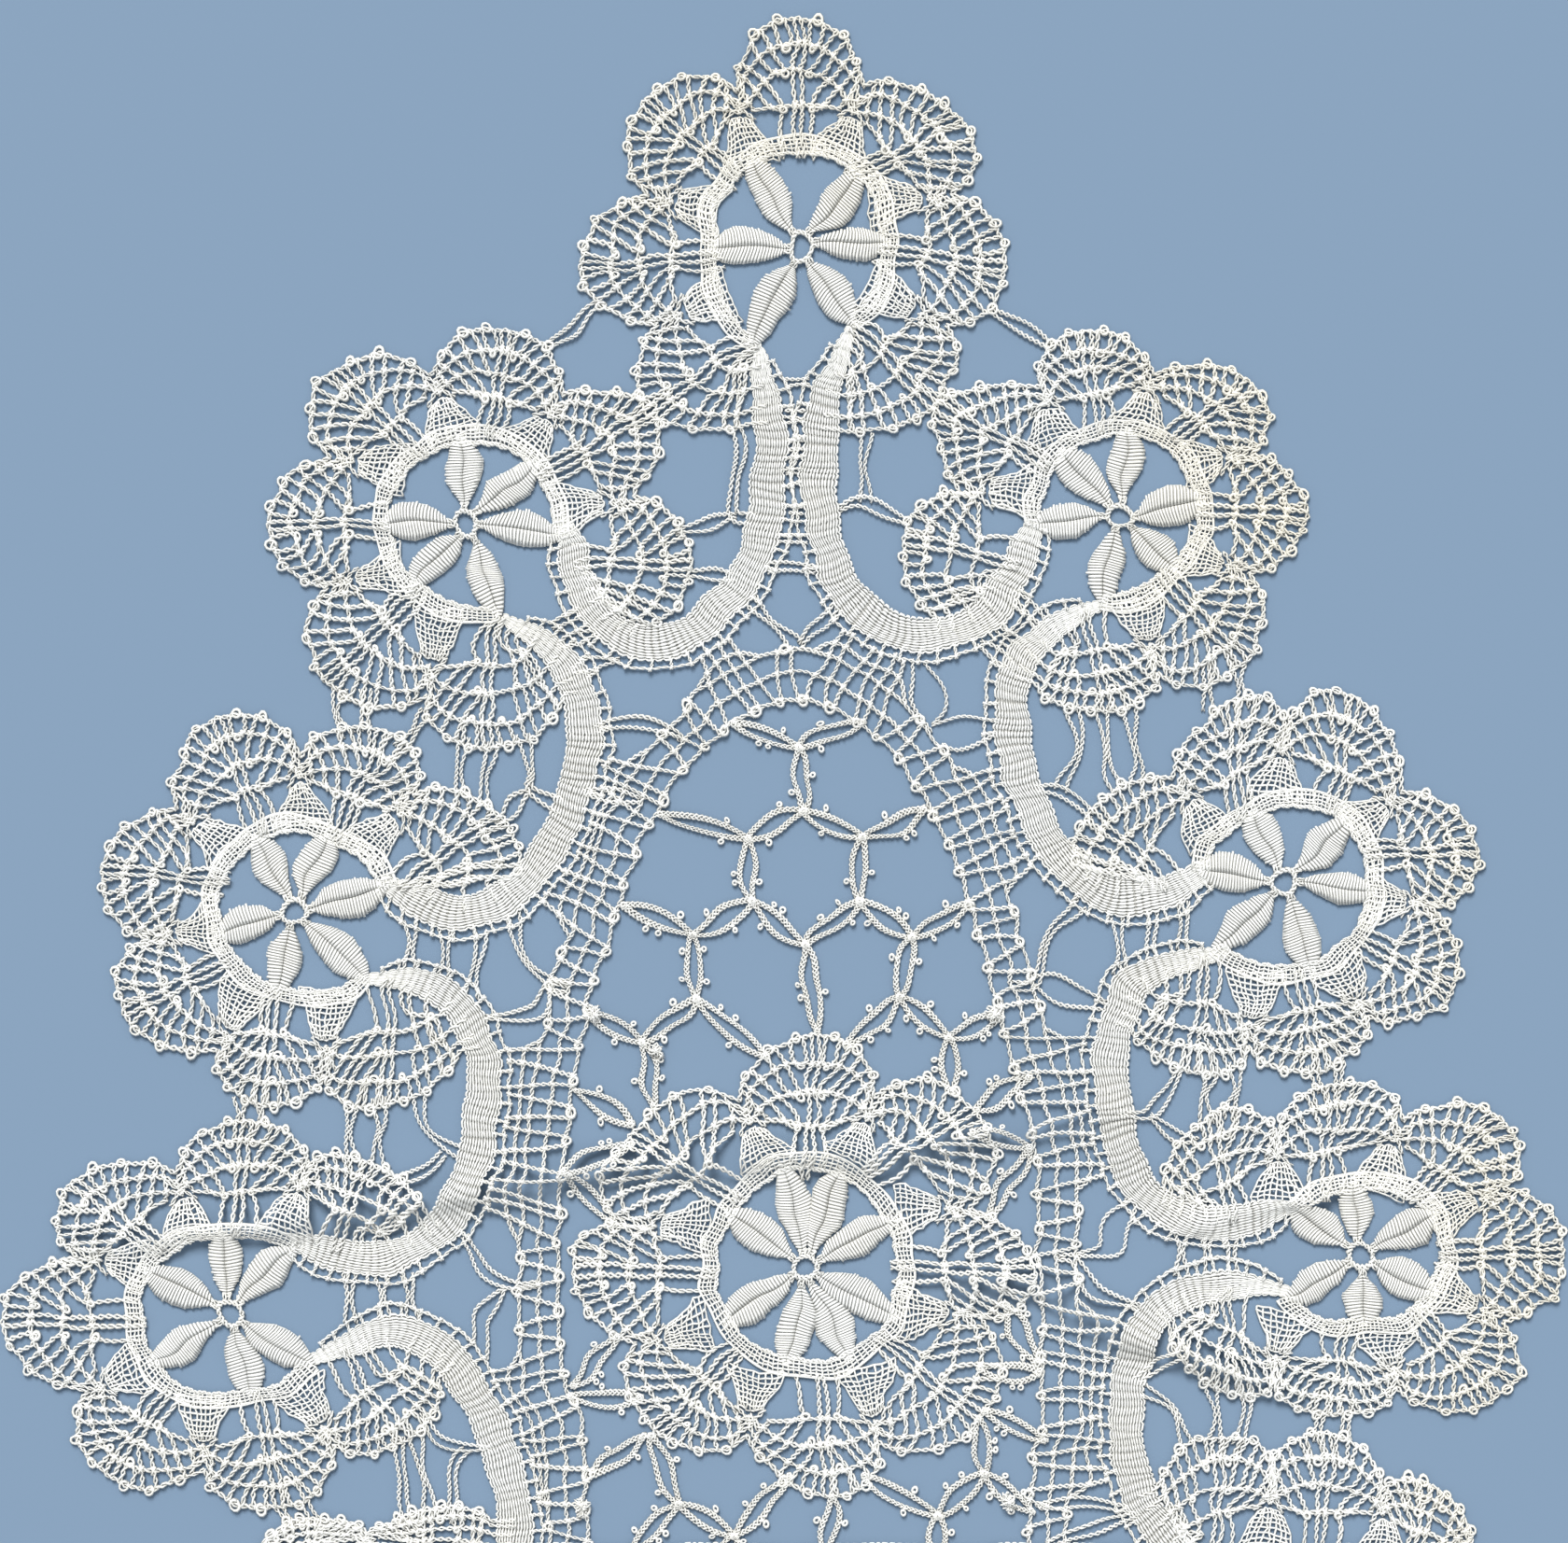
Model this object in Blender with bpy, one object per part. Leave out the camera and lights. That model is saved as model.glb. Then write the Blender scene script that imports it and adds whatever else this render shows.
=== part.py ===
"""A bobbin lace mat end: flowers in rings, scalloped fans, tape trails, a net arch and a hexagon filling.

One continuous piece of thread lace, lying flat with three soft creases. Plan tables are in millimetres,
with X across the lace, Y towards its rounded end and Z up from the surface that it lies on.
"""
import math
from collections import namedtuple

import bmesh
import bpy
import numpy as np
from mathutils import Vector
from mathutils.geometry import delaunay_2d_cdt

# ---- sizes, in millimetres ----
MM = 0.001
THICKNESS = 1.0
TRAIL_HALF = 2.6
FOOTING = 1.15
TAPER = 8.0
BAND_WIDTH = 2.6
BAND_TURN = 15.0
PETAL_WIDTH = 5.0
PETAL_START = 2.6
HUB_HOLE = 1.35
HUB_RIM = 3.3
ARCH_HALF = 3.4
BAR_HALF = 1.5
BAR_TIP = 0.55
JOIN_HALF = 0.75
OVERLAP = 1.8
WEDGE_FOOT = 2.5
WEDGE_END = 0.9
SPOKE_HALF = 0.9
FAN_STEPS = 8
LEAST_SPOKE = 9.0
FAN_GAP_FROM = 0.09
FAN_GAP_TO = 0.36
FAN_GAP_SHARE = 0.52
WIDEST_FAN_GAP = 4.6
LEAST_FAN_GAP = 9.9
CURVE_STEP = 4.6
JOIN_STEP = 3.6
KNOT_OVERLAP = 0.7
KEEP_WITHIN = 0.34
SMALLEST_GAP = 4.0
PATCH_RADIUS = 0.7
PATCH_TURN = 0.4
FOOTSIDE_TOP = -101.9
FOOTSIDE_BOTTOM = -106.3
FOOTSIDE_LEFT = -71.5
FOOTSIDE_RIGHT = 94.0
MERGE = 0.002

Ring = namedtuple("Ring", "name x y band_from band_to petals")
Petal = namedtuple("Petal", "angle reach")
Rib = namedtuple("Rib", "kind foot_x foot_y end_x end_y flat")
Trail = namedtuple("Trail", "name footing stops")
Bar = namedtuple("Bar", "x0 y0 x1 y1")
Crease = namedtuple("Crease", "height width stops")
Width = namedtuple("Width", "along wide")


def petals(*rows):
    return tuple(Petal(*row) for row in rows)


def ribs(*rows):
    """Rows of kind, foot and end; a spoke may add how flat its fan's edge runs, where 1 is a half ellipse."""
    return tuple(Rib(*(row if len(row) == 6 else row + (1.0,))) for row in rows)


# A flower in each ring: where its centre is, and the angle and reach of every petal.
RINGS = (
    Ring("top", 2.3, 74.8, -56, 243,
         petals((120, 13.0), (49, 12.4), (3, 11.0), (-56, 11.8), (-117, 13.7), (180, 11.7))),
    Ring("left_high", -43.1, 37.1, -7, 288,
         petals((94, 10.9), (40, 11.6), (-7, 11.8), (-72, 11.8), (-131, 10.4), (179, 10.7))),
    Ring("right_high", 45.5, 38.1, -102, 186,
         petals((82, 11.0), (9, 10.8), (-43, 10.0), (-102, 10.8), (-174, 10.7), (133, 10.7))),
    Ring("left_mid", -66.7, -15.7, 13, 317,
         petals((117, 10.8), (66, 10.7), (13, 12.3), (-43, 12.7), (-102, 10.4), (-164, 10.0))),
    Ring("right_mid", 68.3, -11.8, -136, 171,
         petals((116, 10.0), (44, 11.3), (-6, 11.2), (-74, 11.6), (-136, 11.9), (171, 10.8))),
    Ring("left_low", -75.6, -70.5, 46, 327,
         petals((93, 10.3), (46, 11.6), (-33, 12.3), (-74, 10.7), (-146, 12.1), (152, 11.9))),
    Ring("right_low", 78.4, -62.7, -150, 145,
         petals((96, 9.1), (28, 11.0), (-27, 10.5), (-87, 8.6), (-150, 10.7), (145, 10.4))),
    Ring("centre", 3.0, -64.3, 30, 390,
         petals((101, 13.5), (71, 13.3), (30, 12.6), (-29, 12.7),
                (-64, 13.3), (-100, 12.7), (-147, 12.4), (144, 12.2))),
)

# Round each ring the ribs alternate: a wedge or a trail's side, then a spoke, then the next wedge.
# Each pair of wedges holds one scalloped fan with the spoke up its middle.
RIBS = {
    "top": ribs(
        ("trail", -4.6, 59.5, -4.3, 50.8), ("spoke", -5.2, 61.5, -18.8, 51.9, 1.3),
        ("wedge", -8.3, 68.0, -17.3, 64.3), ("spoke", -10.3, 73.6, -27.8, 71.9),
        ("wedge", -9.5, 79.5, -18.6, 81.6), ("spoke", -7.8, 85.2, -19.2, 94.2),
        ("wedge", -4.8, 87.0, -6.6, 95.8), ("spoke", 1.9, 89.3, 1.9, 106.2),
        ("wedge", 7.3, 87.3, 10.7, 96.2), ("spoke", 11.0, 85.0, 23.8, 92.3),
        ("wedge", 12.8, 80.8, 22.9, 81.5), ("spoke", 14.8, 74.2, 30.3, 72.0),
        ("wedge", 12.2, 69.2, 22.3, 63.8), ("spoke", 10.3, 63.3, 20.5, 52.8, 1.3),
        ("trail", 8.3, 58.5, 7.0, 50.0)),
    "left_high": ribs(
        ("trail", -26.8, 27.5, -20.3, 22.9), ("spoke", -27.6, 31.5, -12.6, 31.5),
        ("wedge", -30.5, 38.8, -20.2, 40.4), ("spoke", -31.3, 44.3, -17.2, 53.0, 1.5),
        ("wedge", -35.2, 47.4, -30.2, 54.3), ("spoke", -39.6, 50.2, -37.8, 63.6),
        ("wedge", -45.3, 49.8, -48.0, 57.2), ("spoke", -50.5, 47.6, -61.6, 58.0),
        ("wedge", -52.5, 44.5, -62.0, 46.0), ("spoke", -55.5, 37.0, -70.3, 36.6),
        ("wedge", -52.8, 30.5, -62.0, 28.3), ("spoke", -51.0, 27.0, -62.3, 15.2),
        ("wedge", -47.0, 24.5, -48.8, 13.6), ("spoke", -40.0, 22.3, -40.6, 6.3),
        ("trail", -35.5, 21.5, -29.8, 13.5)),
    "right_high": ribs(
        ("trail", 28.2, 27.0, 21.0, 24.2), ("spoke", 30.0, 32.0, 16.3, 35.0),
        ("wedge", 33.0, 41.3, 24.3, 41.0), ("spoke", 34.5, 45.8, 20.3, 53.3, 1.6),
        ("wedge", 36.8, 48.6, 34.9, 55.6), ("spoke", 43.0, 51.2, 40.8, 63.4),
        ("wedge", 48.3, 51.3, 50.4, 57.0), ("spoke", 54.0, 49.3, 63.6, 56.2),
        ("wedge", 55.5, 44.8, 63.2, 46.3), ("spoke", 57.8, 38.8, 71.0, 38.5),
        ("wedge", 55.3, 32.8, 63.4, 30.2), ("spoke", 52.6, 28.8, 62.5, 17.8),
        ("wedge", 48.3, 26.0, 50.8, 16.8), ("spoke", 41.6, 23.0, 44.0, 11.4),
        ("trail", 36.8, 20.0, 34.2, 15.3)),
    "left_mid": ribs(
        ("trail", -49.5, -12.8, -38.2, -12.0), ("spoke", -51.3, -11.3, -38.4, -2.6),
        ("wedge", -57.3, -7.3, -50.2, -0.1), ("spoke", -60.4, -4.2, -54.3, 8.9),
        ("wedge", -65.4, -3.3, -66.0, 5.5), ("spoke", -71.3, -3.2, -77.3, 10.6),
        ("wedge", -76.0, -7.0, -82.5, -2.0), ("spoke", -77.5, -11.8, -92.8, -9.7),
        ("wedge", -78.0, -18.0, -86.3, -19.3), ("spoke", -77.5, -23.5, -89.9, -29.6),
        ("wedge", -73.3, -27.0, -77.4, -34.7), ("spoke", -69.4, -28.0, -71.3, -42.3),
        ("wedge", -62.0, -27.5, -62.4, -37.8), ("spoke", -53.6, -27.2, -54.3, -42.4),
        ("trail", -47.5, -29.0, -44.2, -34.8)),
    "right_mid": ribs(
        ("trail", 50.0, -12.0, 41.8, -10.3), ("spoke", 51.5, -11.4, 41.4, -2.2),
        ("wedge", 57.8, -5.0, 53.0, 2.2), ("spoke", 62.0, -1.4, 61.0, 12.8),
        ("wedge", 67.0, 0.6, 68.3, 8.5), ("spoke", 74.8, -0.6, 77.6, 13.4),
        ("wedge", 78.3, -4.0, 84.0, 0.8), ("spoke", 80.9, -8.0, 94.4, -7.3),
        ("wedge", 80.5, -14.2, 87.5, -15.0), ("spoke", 80.0, -20.5, 91.0, -26.6),
        ("wedge", 75.8, -24.0, 79.3, -30.0), ("spoke", 70.4, -25.4, 73.3, -37.3),
        ("wedge", 64.0, -25.2, 63.3, -34.4), ("spoke", 57.3, -24.5, 55.3, -37.6),
        ("trail", 51.0, -26.5, 47.4, -31.3)),
    "left_low": ribs(
        ("trail", -54.5, -60.8, -48.8, -57.0), ("spoke", -60.5, -59.8, -56.6, -49.6),
        ("wedge", -67.3, -58.3, -65.0, -51.0), ("spoke", -74.3, -58.2, -73.3, -43.9),
        ("wedge", -80.8, -59.5, -82.8, -51.6), ("spoke", -86.0, -60.7, -96.6, -52.6),
        ("wedge", -88.0, -64.0, -96.0, -63.0), ("spoke", -89.5, -71.6, -106.2, -71.6),
        ("wedge", -88.5, -78.3, -94.8, -81.2), ("spoke", -84.8, -82.3, -92.3, -92.6),
        ("wedge", -79.0, -83.0, -79.2, -91.5), ("spoke", -71.5, -82.8, -68.5, -97.2),
        ("wedge", -65.5, -81.5, -61.4, -88.4), ("spoke", -58.5, -78.7, -51.3, -87.6),
        ("trail", -52.0, -75.8, -47.0, -79.0)),
    "right_low": ribs(
        ("trail", 56.0, -56.3, 52.0, -54.3), ("spoke", 60.8, -56.8, 58.0, -43.5),
        ("wedge", 67.3, -54.0, 67.4, -46.8), ("spoke", 73.6, -53.0, 74.8, -39.0),
        ("wedge", 81.0, -52.8, 84.2, -44.2), ("spoke", 86.5, -53.8, 97.5, -43.8),
        ("wedge", 89.5, -57.3, 97.8, -53.4), ("spoke", 90.8, -62.4, 106.4, -62.2),
        ("wedge", 89.0, -67.2, 98.0, -71.4), ("spoke", 87.0, -71.6, 96.5, -82.6),
        ("wedge", 82.3, -74.3, 83.2, -80.3), ("spoke", 76.3, -73.5, 74.6, -84.6),
        ("wedge", 68.3, -71.7, 66.6, -79.0), ("spoke", 60.5, -69.3, 59.3, -80.8),
        ("trail", 55.8, -69.8, 52.4, -72.2)),
    "centre": ribs(
        ("wedge", -2.5, -49.2, -6.2, -41.6), ("spoke", 3.3, -50.0, 4.3, -32.5),
        ("wedge", 9.3, -48.6, 12.2, -41.4), ("spoke", 13.0, -50.3, 25.6, -42.6, 0.8),
        ("wedge", 16.3, -56.3, 25.0, -56.3), ("spoke", 16.8, -64.0, 34.0, -64.8),
        ("wedge", 16.5, -70.3, 26.3, -71.0), ("spoke", 14.5, -75.3, 27.0, -84.8),
        ("wedge", 11.3, -79.0, 12.8, -88.0), ("spoke", 5.0, -80.7, 6.2, -95.4),
        ("wedge", -4.0, -79.3, -5.0, -87.2), ("spoke", -7.8, -76.8, -17.3, -86.9),
        ("wedge", -11.3, -72.5, -20.3, -74.8), ("spoke", -12.0, -65.0, -28.8, -64.6),
        ("wedge", -11.3, -58.8, -21.3, -58.4), ("spoke", -8.0, -54.0, -21.0, -46.0, 0.75),
        ("wedge", -2.5, -49.2, -6.2, -41.6)),
    "foot_left": ribs(
        ("trail", -70.3, -103.0, -70.6, -102.0), ("spoke", -64.0, -103.0, -64.5, -98.2),
        ("wedge", -57.0, -103.0, -56.8, -100.8), ("spoke", -48.5, -103.0, -48.5, -97.1),
        ("trail", -39.5, -103.0, -39.8, -98.6)),
    "foot_right": ribs(
        ("trail", 54.0, -103.0, 50.3, -94.8), ("spoke", 58.8, -102.0, 59.3, -87.2),
        ("wedge", 65.5, -102.5, 66.3, -92.8), ("spoke", 73.0, -102.0, 74.2, -86.7),
        ("wedge", 81.5, -103.0, 81.5, -94.8), ("spoke", 86.5, -103.0, 88.3, -93.8),
        ("trail", 92.5, -104.5, 93.5, -102.2)),
}

# Trails of dense tape, as stops along the middle. The footing is an extra edge: 1 is left, -1 is right.
TRAILS = (
    Trail("top_to_left", 1, (
        (-3.4, 61.3), (-2.0, 52.0), (-2.3, 40.9), (-4.2, 31.8), (-10.0, 24.3), (-16.1, 21.0),
        (-21.5, 21.5), (-26.8, 26.6), (-29.2, 35.1))),
    Trail("left_high_to_mid", 1, (
        (-38.7, 24.6), (-32.8, 20.9), (-28.4, 15.0), (-27.2, 6.6), (-30.0, -3.5), (-36.0, -12.6),
        (-43.6, -16.0), (-49.6, -14.4), (-54.7, -11.8))),
    Trail("left_mid_to_low", 1, (
        (-58.3, -25.1), (-50.9, -25.2), (-44.5, -28.6), (-41.0, -36.0), (-41.6, -46.0), (-43.9, -54.6),
        (-49.8, -61.2), (-57.5, -63.0), (-67.5, -60.3))),
    Trail("left_low_to_foot", 1, (
        (-65.5, -77.6), (-58.9, -74.5), (-52.5, -72.9), (-45.8, -76.3), (-40.8, -84.2), (-37.8, -91.8),
        (-36.8, -97.5), (-36.6, -103.0))),
    Trail("top_to_right", -1, (
        (9.3, 63.9), (6.2, 56.0), (4.8, 48.0), (5.2, 38.0), (7.4, 29.6), (12.6, 23.6), (19.0, 21.8),
        (26.2, 23.8), (31.0, 29.4), (33.9, 37.2))),
    Trail("right_high_to_mid", -1, (
        (43.9, 26.4), (36.2, 22.6), (31.6, 16.6), (31.0, 9.0), (33.0, 0.4), (36.9, -7.6), (43.8, -13.3),
        (51.0, -13.4), (58.2, -9.6))),
    Trail("right_mid_to_low", -1, (
        (61.0, -21.4), (53.0, -23.0), (47.0, -26.6), (44.6, -34.0), (45.2, -44.0), (48.4, -53.2),
        (54.7, -57.6), (61.0, -58.0), (69.3, -55.8))),
    Trail("right_low_to_foot", -1, (
        (70.5, -67.8), (61.0, -66.2), (53.6, -67.0), (48.4, -71.4), (46.8, -79.0), (46.6, -88.0),
        (48.7, -96.4), (54.0, -103.0))),
)

# The net arch under the top trails, as stops along its middle.
ARCH = (
    (-29.4, -103.0), (-30.1, -87.4), (-33.0, -77.9), (-33.4, -64.3), (-33.1, -55.2), (-31.6, -40.3),
    (-29.8, -31.0), (-28.5, -24.6), (-25.4, -15.6), (-22.4, -6.0), (-18.2, 1.6), (-9.9, 11.4),
    (1.4, 16.6), (12.6, 11.8), (19.4, 4.2), (25.0, -6.0), (28.7, -17.0), (31.4, -26.8), (34.0, -36.8),
    (37.0, -48.6), (37.2, -63.2), (37.8, -76.0), (37.6, -86.0), (35.8, -97.3), (36.4, -103.0),
)

# Bars of the hexagon filling, each drawn as a pointed lens from one knot to the next.
BARS = tuple(Bar(*row) for row in (
    (1.9, 6.6, -6.6, 9.8), (1.9, 6.6, 10.5, 10.3), (1.9, 6.6, 2.5, -2.0), (2.5, -2.0, -5.1, -5.8),
    (2.5, -2.0, 10.5, -5.8), (-5.1, -5.8, -17.0, -2.1), (10.5, -5.8, 19.2, -2.0),
    (-5.1, -5.8, -4.4, -14.5), (10.5, -5.8, 10.3, -14.2), (-4.4, -14.5, -12.3, -18.7),
    (-4.4, -14.5, 2.9, -20.3), (10.3, -14.2, 2.9, -20.3), (10.3, -14.2, 17.3, -19.2),
    (-12.3, -18.7, -22.0, -15.1), (17.3, -19.2, 25.0, -14.7), (2.9, -20.3, 4.6, -32.0),
    (-12.3, -18.7, -12.1, -27.8), (17.3, -19.2, 15.9, -27.4), (-12.1, -27.8, -2.3, -35.8),
    (15.9, -27.4, 8.6, -34.0), (-12.1, -27.8, -19.2, -33.5), (15.9, -27.4, 22.2, -33.0),
    (-19.2, -33.5, -26.6, -29.8), (22.2, -33.0, 29.3, -29.9), (-19.2, -33.5, -17.8, -42.6),
    (22.2, -33.0, 22.9, -40.4), (-28.0, -40.0, -20.8, -44.6), (33.2, -38.4, 25.8, -42.6),
    (-30.0, -51.0, -21.0, -47.4), (-29.4, -51.4, -23.3, -58.3), (33.6, -47.8, 25.6, -45.8),
    (33.6, -48.2, 27.6, -57.2), (-22.8, -73.8, -28.6, -80.6), (-28.8, -82.2, -19.6, -82.0),
    (-18.8, -87.2, -26.2, -92.4), (-17.8, -87.2, -14.6, -96.4), (-14.6, -96.4, -21.0, -103.0),
    (-14.6, -96.4, -7.0, -100.6), (0.6, -92.8, -7.0, -100.6), (-7.0, -100.6, -7.4, -104.0),
    (6.6, -95.4, 5.8, -103.4), (11.0, -92.8, 20.6, -98.0), (20.6, -98.0, 27.2, -92.4),
    (20.6, -98.0, 21.0, -103.4), (27.2, -92.4, 26.6, -85.0), (27.2, -92.4, 33.4, -97.4),
    (27.4, -84.0, 35.4, -87.8), (26.6, -78.2, 34.8, -78.6), (30.0, -69.0, 34.6, -77.6),
))

# Twisted pairs that tie one part to the next: tapes, fans and arch.
JOINS = (
    ((-25.0, 66.6), (-32.6, 61.0)), ((28.0, 66.6), (36.6, 60.8)),
    ((-7.0, 50.6), (-6.0, 45.0), (-7.0, 38.6), (-4.0, 37.6)),
    ((-14.6, 35.6), (-10.0, 37.4), (-6.4, 38.2)), ((-12.8, 30.4), (-6.0, 29.8)),
    ((11.3, 49.4), (10.9, 44.6), (10.9, 40.0)), ((7.4, 38.8), (10.9, 40.0), (17.6, 36.8)),
    ((-15.8, 18.4), (-17.4, 9.4)), ((-26.4, 9.0), (-20.5, 10.2), (-15.4, 8.8)),
    ((-27.4, 0.4), (-19.8, -0.6)), ((17.8, 18.6), (17.2, 13.0), (20.2, 8.4)),
    ((19.3, 18.4), (22.0, 13.8), (20.3, 9.2)), ((20.3, 9.4), (24.0, 10.9), (29.4, 9.8)),
    ((21.4, 7.0), (23.6, 6.2), (29.4, 7.9)), ((24.0, 0.6), (31.0, 0.8)),
    ((-37.0, -15.8), (-35.8, -21.5), (-31.4, -25.6)), ((-31.4, -25.8), (-34.2, -29.4), (-40.8, -30.2)),
    ((39.4, -15.6), (35.8, -18.8), (34.2, -25.2)), ((34.0, -24.4), (37.8, -24.4), (43.6, -28.0)),
    ((34.2, -25.4), (37.0, -28.4), (43.4, -29.3)),
    ((46.6, -54.6), (43.2, -58.4), (42.8, -61.5), (39.6, -62.9)),
    ((47.4, -55.2), (46.9, -60.0), (45.5, -62.6), (39.6, -63.1)),
    ((39.6, -63.4), (42.3, -67.5), (48.4, -69.4)), ((-43.6, -59.4), (-40.8, -64.6), (-36.4, -66.8)),
    ((-37.4, -67.0), (-41.8, -69.5), (-42.6, -75.0)), ((-37.4, -67.0), (-40.3, -71.6), (-40.6, -77.0)),
    ((-49.4, -84.2), (-46.5, -87.8), (-39.6, -89.0)), ((-43.0, -88.8), (-45.2, -92.2), (-44.8, -99.0)),
    ((-52.6, -87.0), (-51.2, -99.0)), ((-50.4, -86.6), (-47.8, -98.6)),
    ((-49.8, -40.8), (-48.6, -45.6), (-44.0, -48.8)), ((-46.5, -48.7), (-49.2, -51.4), (-54.0, -52.4)),
    ((54.2, -36.8), (52.2, -40.4), (49.0, -43.4), (45.6, -43.0)),
    ((49.4, -43.5), (53.0, -46.2), (56.6, -47.0)), ((-74.0, -41.4), (-74.4, -45.0)),
    ((-71.2, -41.4), (-71.4, -45.0)), ((-58.8, -40.8), (-59.2, -46.0), (-58.6, -50.6)),
    ((-55.2, -41.4), (-54.9, -46.0), (-55.8, -51.0)), ((71.8, -36.4), (73.4, -40.4)),
    ((75.5, -36.4), (75.8, -40.2)), ((57.8, -36.8), (57.3, -44.6)), ((61.6, -36.4), (60.8, -44.4)),
    ((73.0, -83.4), (73.0, -88.0)), ((76.4, -83.4), (76.8, -88.0)), ((58.4, -79.6), (58.8, -88.4)),
    ((62.4, -79.8), (62.9, -84.0), (61.8, -88.6)), ((47.8, -80.2), (51.2, -77.0), (55.0, -75.4)),
    ((48.6, -80.8), (53.0, -84.0), (55.6, -89.6)), ((-60.4, 14.4), (-61.0, 11.5), (-59.4, 8.0)),
    ((-57.0, 14.2), (-56.6, 8.6)), ((-43.8, 8.0), (-44.3, 3.0), (-43.8, -1.4)),
    ((-40.0, 7.2), (-40.3, 2.0), (-41.4, -2.0)),
    ((-35.9, 8.6), (-34.6, 3.0), (-34.3, 0.3), (-30.0, -1.6)), ((-48.6, 11.4), (-52.2, 6.2)),
    ((-34.3, 0.3), (-39.6, -3.4)), ((58.0, 17.6), (57.8, 11.6)), ((61.9, 18.2), (62.3, 11.8)),
    ((39.2, 12.0), (40.2, 6.6), (37.8, 0.6)), ((43.2, 12.4), (44.0, 4.0), (45.6, 0.6)),
    ((47.0, 12.0), (48.1, 5.0), (48.2, 1.0)), ((42.0, -2.8), (37.8, 0.5), (34.0, 1.0)),
    ((-50.8, -17.0), (-51.2, -24.0)), ((-46.0, -18.0), (-46.5, -25.0)), ((-41.3, -18.4), (-42.4, -27.6)),
    ((45.4, -16.4), (46.0, -24.6)), ((50.0, -15.8), (50.0, -22.6)), ((54.4, -14.4), (54.3, -21.0)),
    ((-59.0, -65.0), (-59.0, -71.8)), ((-54.8, -65.2), (-54.6, -71.4)), ((-51.2, -65.0), (-50.6, -71.2)),
    ((54.2, -59.4), (54.0, -65.4)), ((57.8, -59.8), (57.8, -65.0)), ((61.0, -59.6), (61.3, -65.4)),
    ((-3.6, 26.6), (1.3, 20.6), (1.3, 17.6)), ((5.8, 26.2), (1.5, 20.6)), ((-4.0, 30.2), (6.6, 30.0)),
    ((-2.0, 56.2), (6.0, 55.8)), ((-2.0, 51.6), (5.6, 51.6)), ((-2.0, 47.0), (5.6, 47.0)),
    ((-2.0, 42.4), (5.6, 42.4)), ((-2.6, 37.8), (5.6, 37.8)), ((-3.4, 34.0), (6.0, 34.0)),
    ((-9.0, 21.4), (-7.6, 15.6)), ((11.8, 20.6), (10.6, 15.4)), ((38.6, -39.0), (45.0, -39.4)),
    ((38.0, -42.6), (45.0, -42.0)), ((36.0, -76.4), (47.0, -78.0)), ((36.0, -82.2), (46.8, -86.6)),
    ((34.6, -96.6), (41.6, -96.0), (47.4, -97.0)), ((36.0, -102.0), (43.0, -99.6), (48.6, -97.4)),
    ((-32.6, -41.0), (-41.2, -41.4)), ((-33.0, -50.8), (-42.0, -50.6)), ((-31.8, -83.0), (-39.6, -80.6)),
    ((-31.0, -88.6), (-38.0, -88.6)), ((-30.6, -93.6), (-37.4, -93.4)), ((-31.6, 22.8), (-27.2, 25.6)),
    ((-31.0, 20.0), (-25.4, 22.4)), ((-29.8, 17.0), (-22.6, 18.6)), ((35.6, 23.4), (31.2, 27.4)),
    ((33.4, 20.0), (28.6, 23.4)), ((31.6, 17.4), (26.4, 20.6)),
    ((-68.9, -96.6), (-67.6, -99.6)), ((-65.6, -95.8), (-63.9, -98.8)),
)

# Soft creases across the cloth: how high, how wide, and where they run.
CREASES = (
    Crease(2.6, 2.9, ((-104.0, -62.4), (-75.0, -58.4), (-51.0, -55.6), (-28.0, -50.8), (-8.0, -49.3),
                      (15.0, -48.6), (29.0, -45.5), (44.5, -43.0), (52.0, -42.5))),
    Crease(2.0, 2.5, ((15.0, -64.8), (36.0, -66.4), (46.0, -73.4), (56.0, -76.2), (71.0, -82.0))),
    Crease(1.6, 2.4, ((50.0, -59.2), (64.0, -56.0), (80.0, -52.6))),
)
CREASE_OFFSETS = (-1.35, 0.0, 1.35)

# A petal's width along its length, both as shares.
PETAL_SHAPE = (Width(0.0, 0.3), Width(0.3, 0.88), Width(0.56, 1.0), Width(0.86, 0.55), Width(1.0, 0.24))


# ---- plane geometry ----
def spline(stops, step, closed=False):
    """Points about one step apart along a smooth curve through the stops."""
    points = [Vector(stop) for stop in stops]
    count = len(points)
    found = []
    for i in range(count if closed else count - 1):
        if closed:
            before, start, end, after = (points[(i + k) % count] for k in (-1, 0, 1, 2))
        else:
            start = points[i]
            end = points[i + 1]
            before = points[i - 1] if i else start * 2 - end
            after = points[i + 2] if i + 2 < count else end * 2 - start
        pieces = max(1, round((end - start).length / step))
        for k in range(pieces):
            t = k / pieces
            found.append(0.5 * ((2 * start) + (end - before) * t
                                + (2 * before - 5 * start + 4 * end - after) * t * t
                                + (3 * start - before - 3 * end + after) * t * t * t))
    if not closed:
        found.append(points[-1])
    return found


def sides(points, left, right, closed=False):
    """The two edges of a strip along the points."""
    count = len(points)
    lefts = []
    rights = []
    for i, point in enumerate(points):
        before = points[i - 1] if i or closed else point
        after = points[(i + 1) % count] if i + 1 < count or closed else point
        along = (after - before).normalized()
        across = Vector((-along.y, along.x))
        lefts.append(point + across * (left[i] if isinstance(left, list) else left))
        rights.append(point - across * (right[i] if isinstance(right, list) else right))
    return lefts, rights


def strip(points, left, right, closed=False):
    """The strip as one four-sided piece for each step."""
    lefts, rights = sides(points, left, right, closed)
    count = len(points)
    return [[rights[i], rights[(i + 1) % count], lefts[(i + 1) % count], lefts[i]]
            for i in range(count if closed else count - 1)]


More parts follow.
